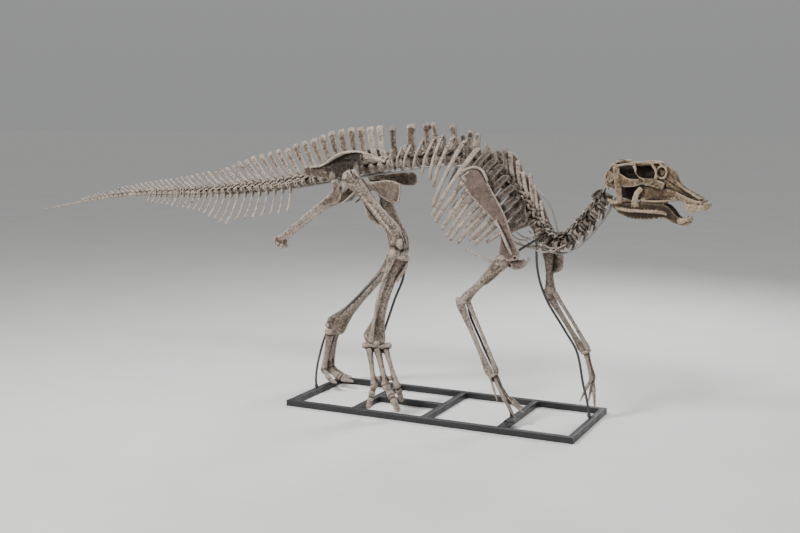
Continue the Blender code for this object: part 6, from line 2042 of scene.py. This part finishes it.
@dataclass
class Skeleton:
    """The whole mounted skeleton."""

    column: Column = field(default_factory=Column)
    tail: BoneFinish = BoneFinish("bone_tail", "bone_column")
    trunk: BoneFinish = BoneFinish("bone_trunk", "bone_column", grain=grain_along(Vector((0.1, 0.0, 1.0))))
    ribs: BoneFinish = BoneFinish("bone_ribs", "bone_column", grain=grain_along(Vector((0.55, 0.0, 1.0))))
    plate: BoneFinish = BoneFinish("bone_plate", grain=grain_along(Vector((-0.6, 0.0, 1.0))),
        pale=(0.19, 0.135, 0.112), stain=(0.108, 0.074, 0.06), stain_share=0.5, patch_share=0.25,
        crack_scale=5.0, crack_share=0.34)
    upper: BoneFinish = BoneFinish("bone_upper_limb", grain=grain_along(Vector((0.6, 0.0, -1.0))),
        crack_scale=7.0)
    lower: BoneFinish = BoneFinish("bone_lower_limb", grain=grain_along(Vector((0.1, 0.0, 1.0))))
    rear: BoneFinish = BoneFinish("bone_slanting_limb", grain=grain_along(Vector((0.8, 0.0, 0.8))))
    skull: BoneFinish = BoneFinish("bone_skull_pale", "bone_skull", (0.5, 0.395, 0.28),
        (0.235, 0.158, 0.092), (0.095, 0.058, 0.032), (0.014, 0.009, 0.006), crack_scale=16.0)
    teeth: BoneFinish = BoneFinish("tooth", "bone_skull", pale=(0.3, 0.22, 0.145),
        stain=(0.13, 0.088, 0.055), roughness=(0.26, 0.5), sheen=0.45)

    def build(self) -> None:
        """Build every bone, from tail to head."""
        Tail(self.column, self.tail).build()
        Sacrum(self.column, self.trunk).build()
        RibCage(self.column, self.ribs).build()
        Neck(self.column, self.trunk).build()
        for side in Side:
            Shoulder(side, self.plate, self.tail).build()
            Pelvis(side, self.rear).build()
        HindLeg(Side.RIGHT, self.upper, self.lower, (-0.615, 0.135, 1.565), (-0.232, 0.2, 1.075),
            (-0.37, 0.27, 0.465), (-0.285, 0.305, 0.2), ((-0.372, 0.385, 0.06), (-0.158, 0.375, 0.06),
            (-0.198, 0.245, 0.09)), (-0.055, 0.03), 0.028, 0.006, (-0.9, 0.42, 0.0), 1.45).build()
        HindLeg(Side.LEFT, self.upper, self.rear, (-0.615, 0.135, 1.565), (-0.42, 0.185, 1.0),
            (-0.96, 0.2, 0.43), (-1.015, 0.21, 0.13), ((-0.87, 0.31, 0.06), (-0.8, 0.2, 0.06),
            (-0.89, 0.11, 0.06)), (-0.04, 0.04), 0.0, -0.02, (0.0, 1.0, 0.0), 1.1).build()
        ForeLeg(Side.RIGHT, self.rear, self.lower, (0.486, 0.2, 1.068), (0.214, 0.205, 0.785),
            (0.42, 0.2, 0.33), (0.505, 0.195, 0.18), ((0.556, 0.175, 0.062), (0.603, 0.135, 0.085),
            (0.585, 0.09, 0.1)), 0.018).build()
        ForeLeg(Side.LEFT, self.lower, self.upper, (0.64, 0.19, 1.12), (0.652, 0.205, 0.815),
            (0.898, 0.205, 0.445), (0.95, 0.2, 0.27), ((0.915, 0.235, 0.11), (0.97, 0.195, 0.082),
            (0.88, 0.16, 0.12)), 0.072).build()
        Skull(self.skull, self.teeth).build()
        Jaw(self.skull, self.teeth).build()


def write_sizes() -> None:
    """Bring the view layer up to date."""
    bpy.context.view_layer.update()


def main() -> None:
    """Build the skeleton, its stand and the studio round it."""
    logging.basicConfig(level=logging.INFO, format="%(name)s: %(message)s")
    Skeleton().build()
    black = SteelFinish("steel_black")
    dark = SteelFinish("steel_rod", paint=(0.055, 0.055, 0.058), worn=(0.22, 0.21, 0.2), metallic=0.35,
        roughness=(0.34, 0.5))
    bare = SteelFinish("steel_bare", paint=(0.25, 0.235, 0.215), worn=(0.36, 0.34, 0.31), metallic=0.3,
        dust_share=0.1, roughness=(0.35, 0.55))
    Stand(Column(), black, dark, bare).build()
    Studio().build()
    write_sizes()


if __name__ == "__main__":
    main()
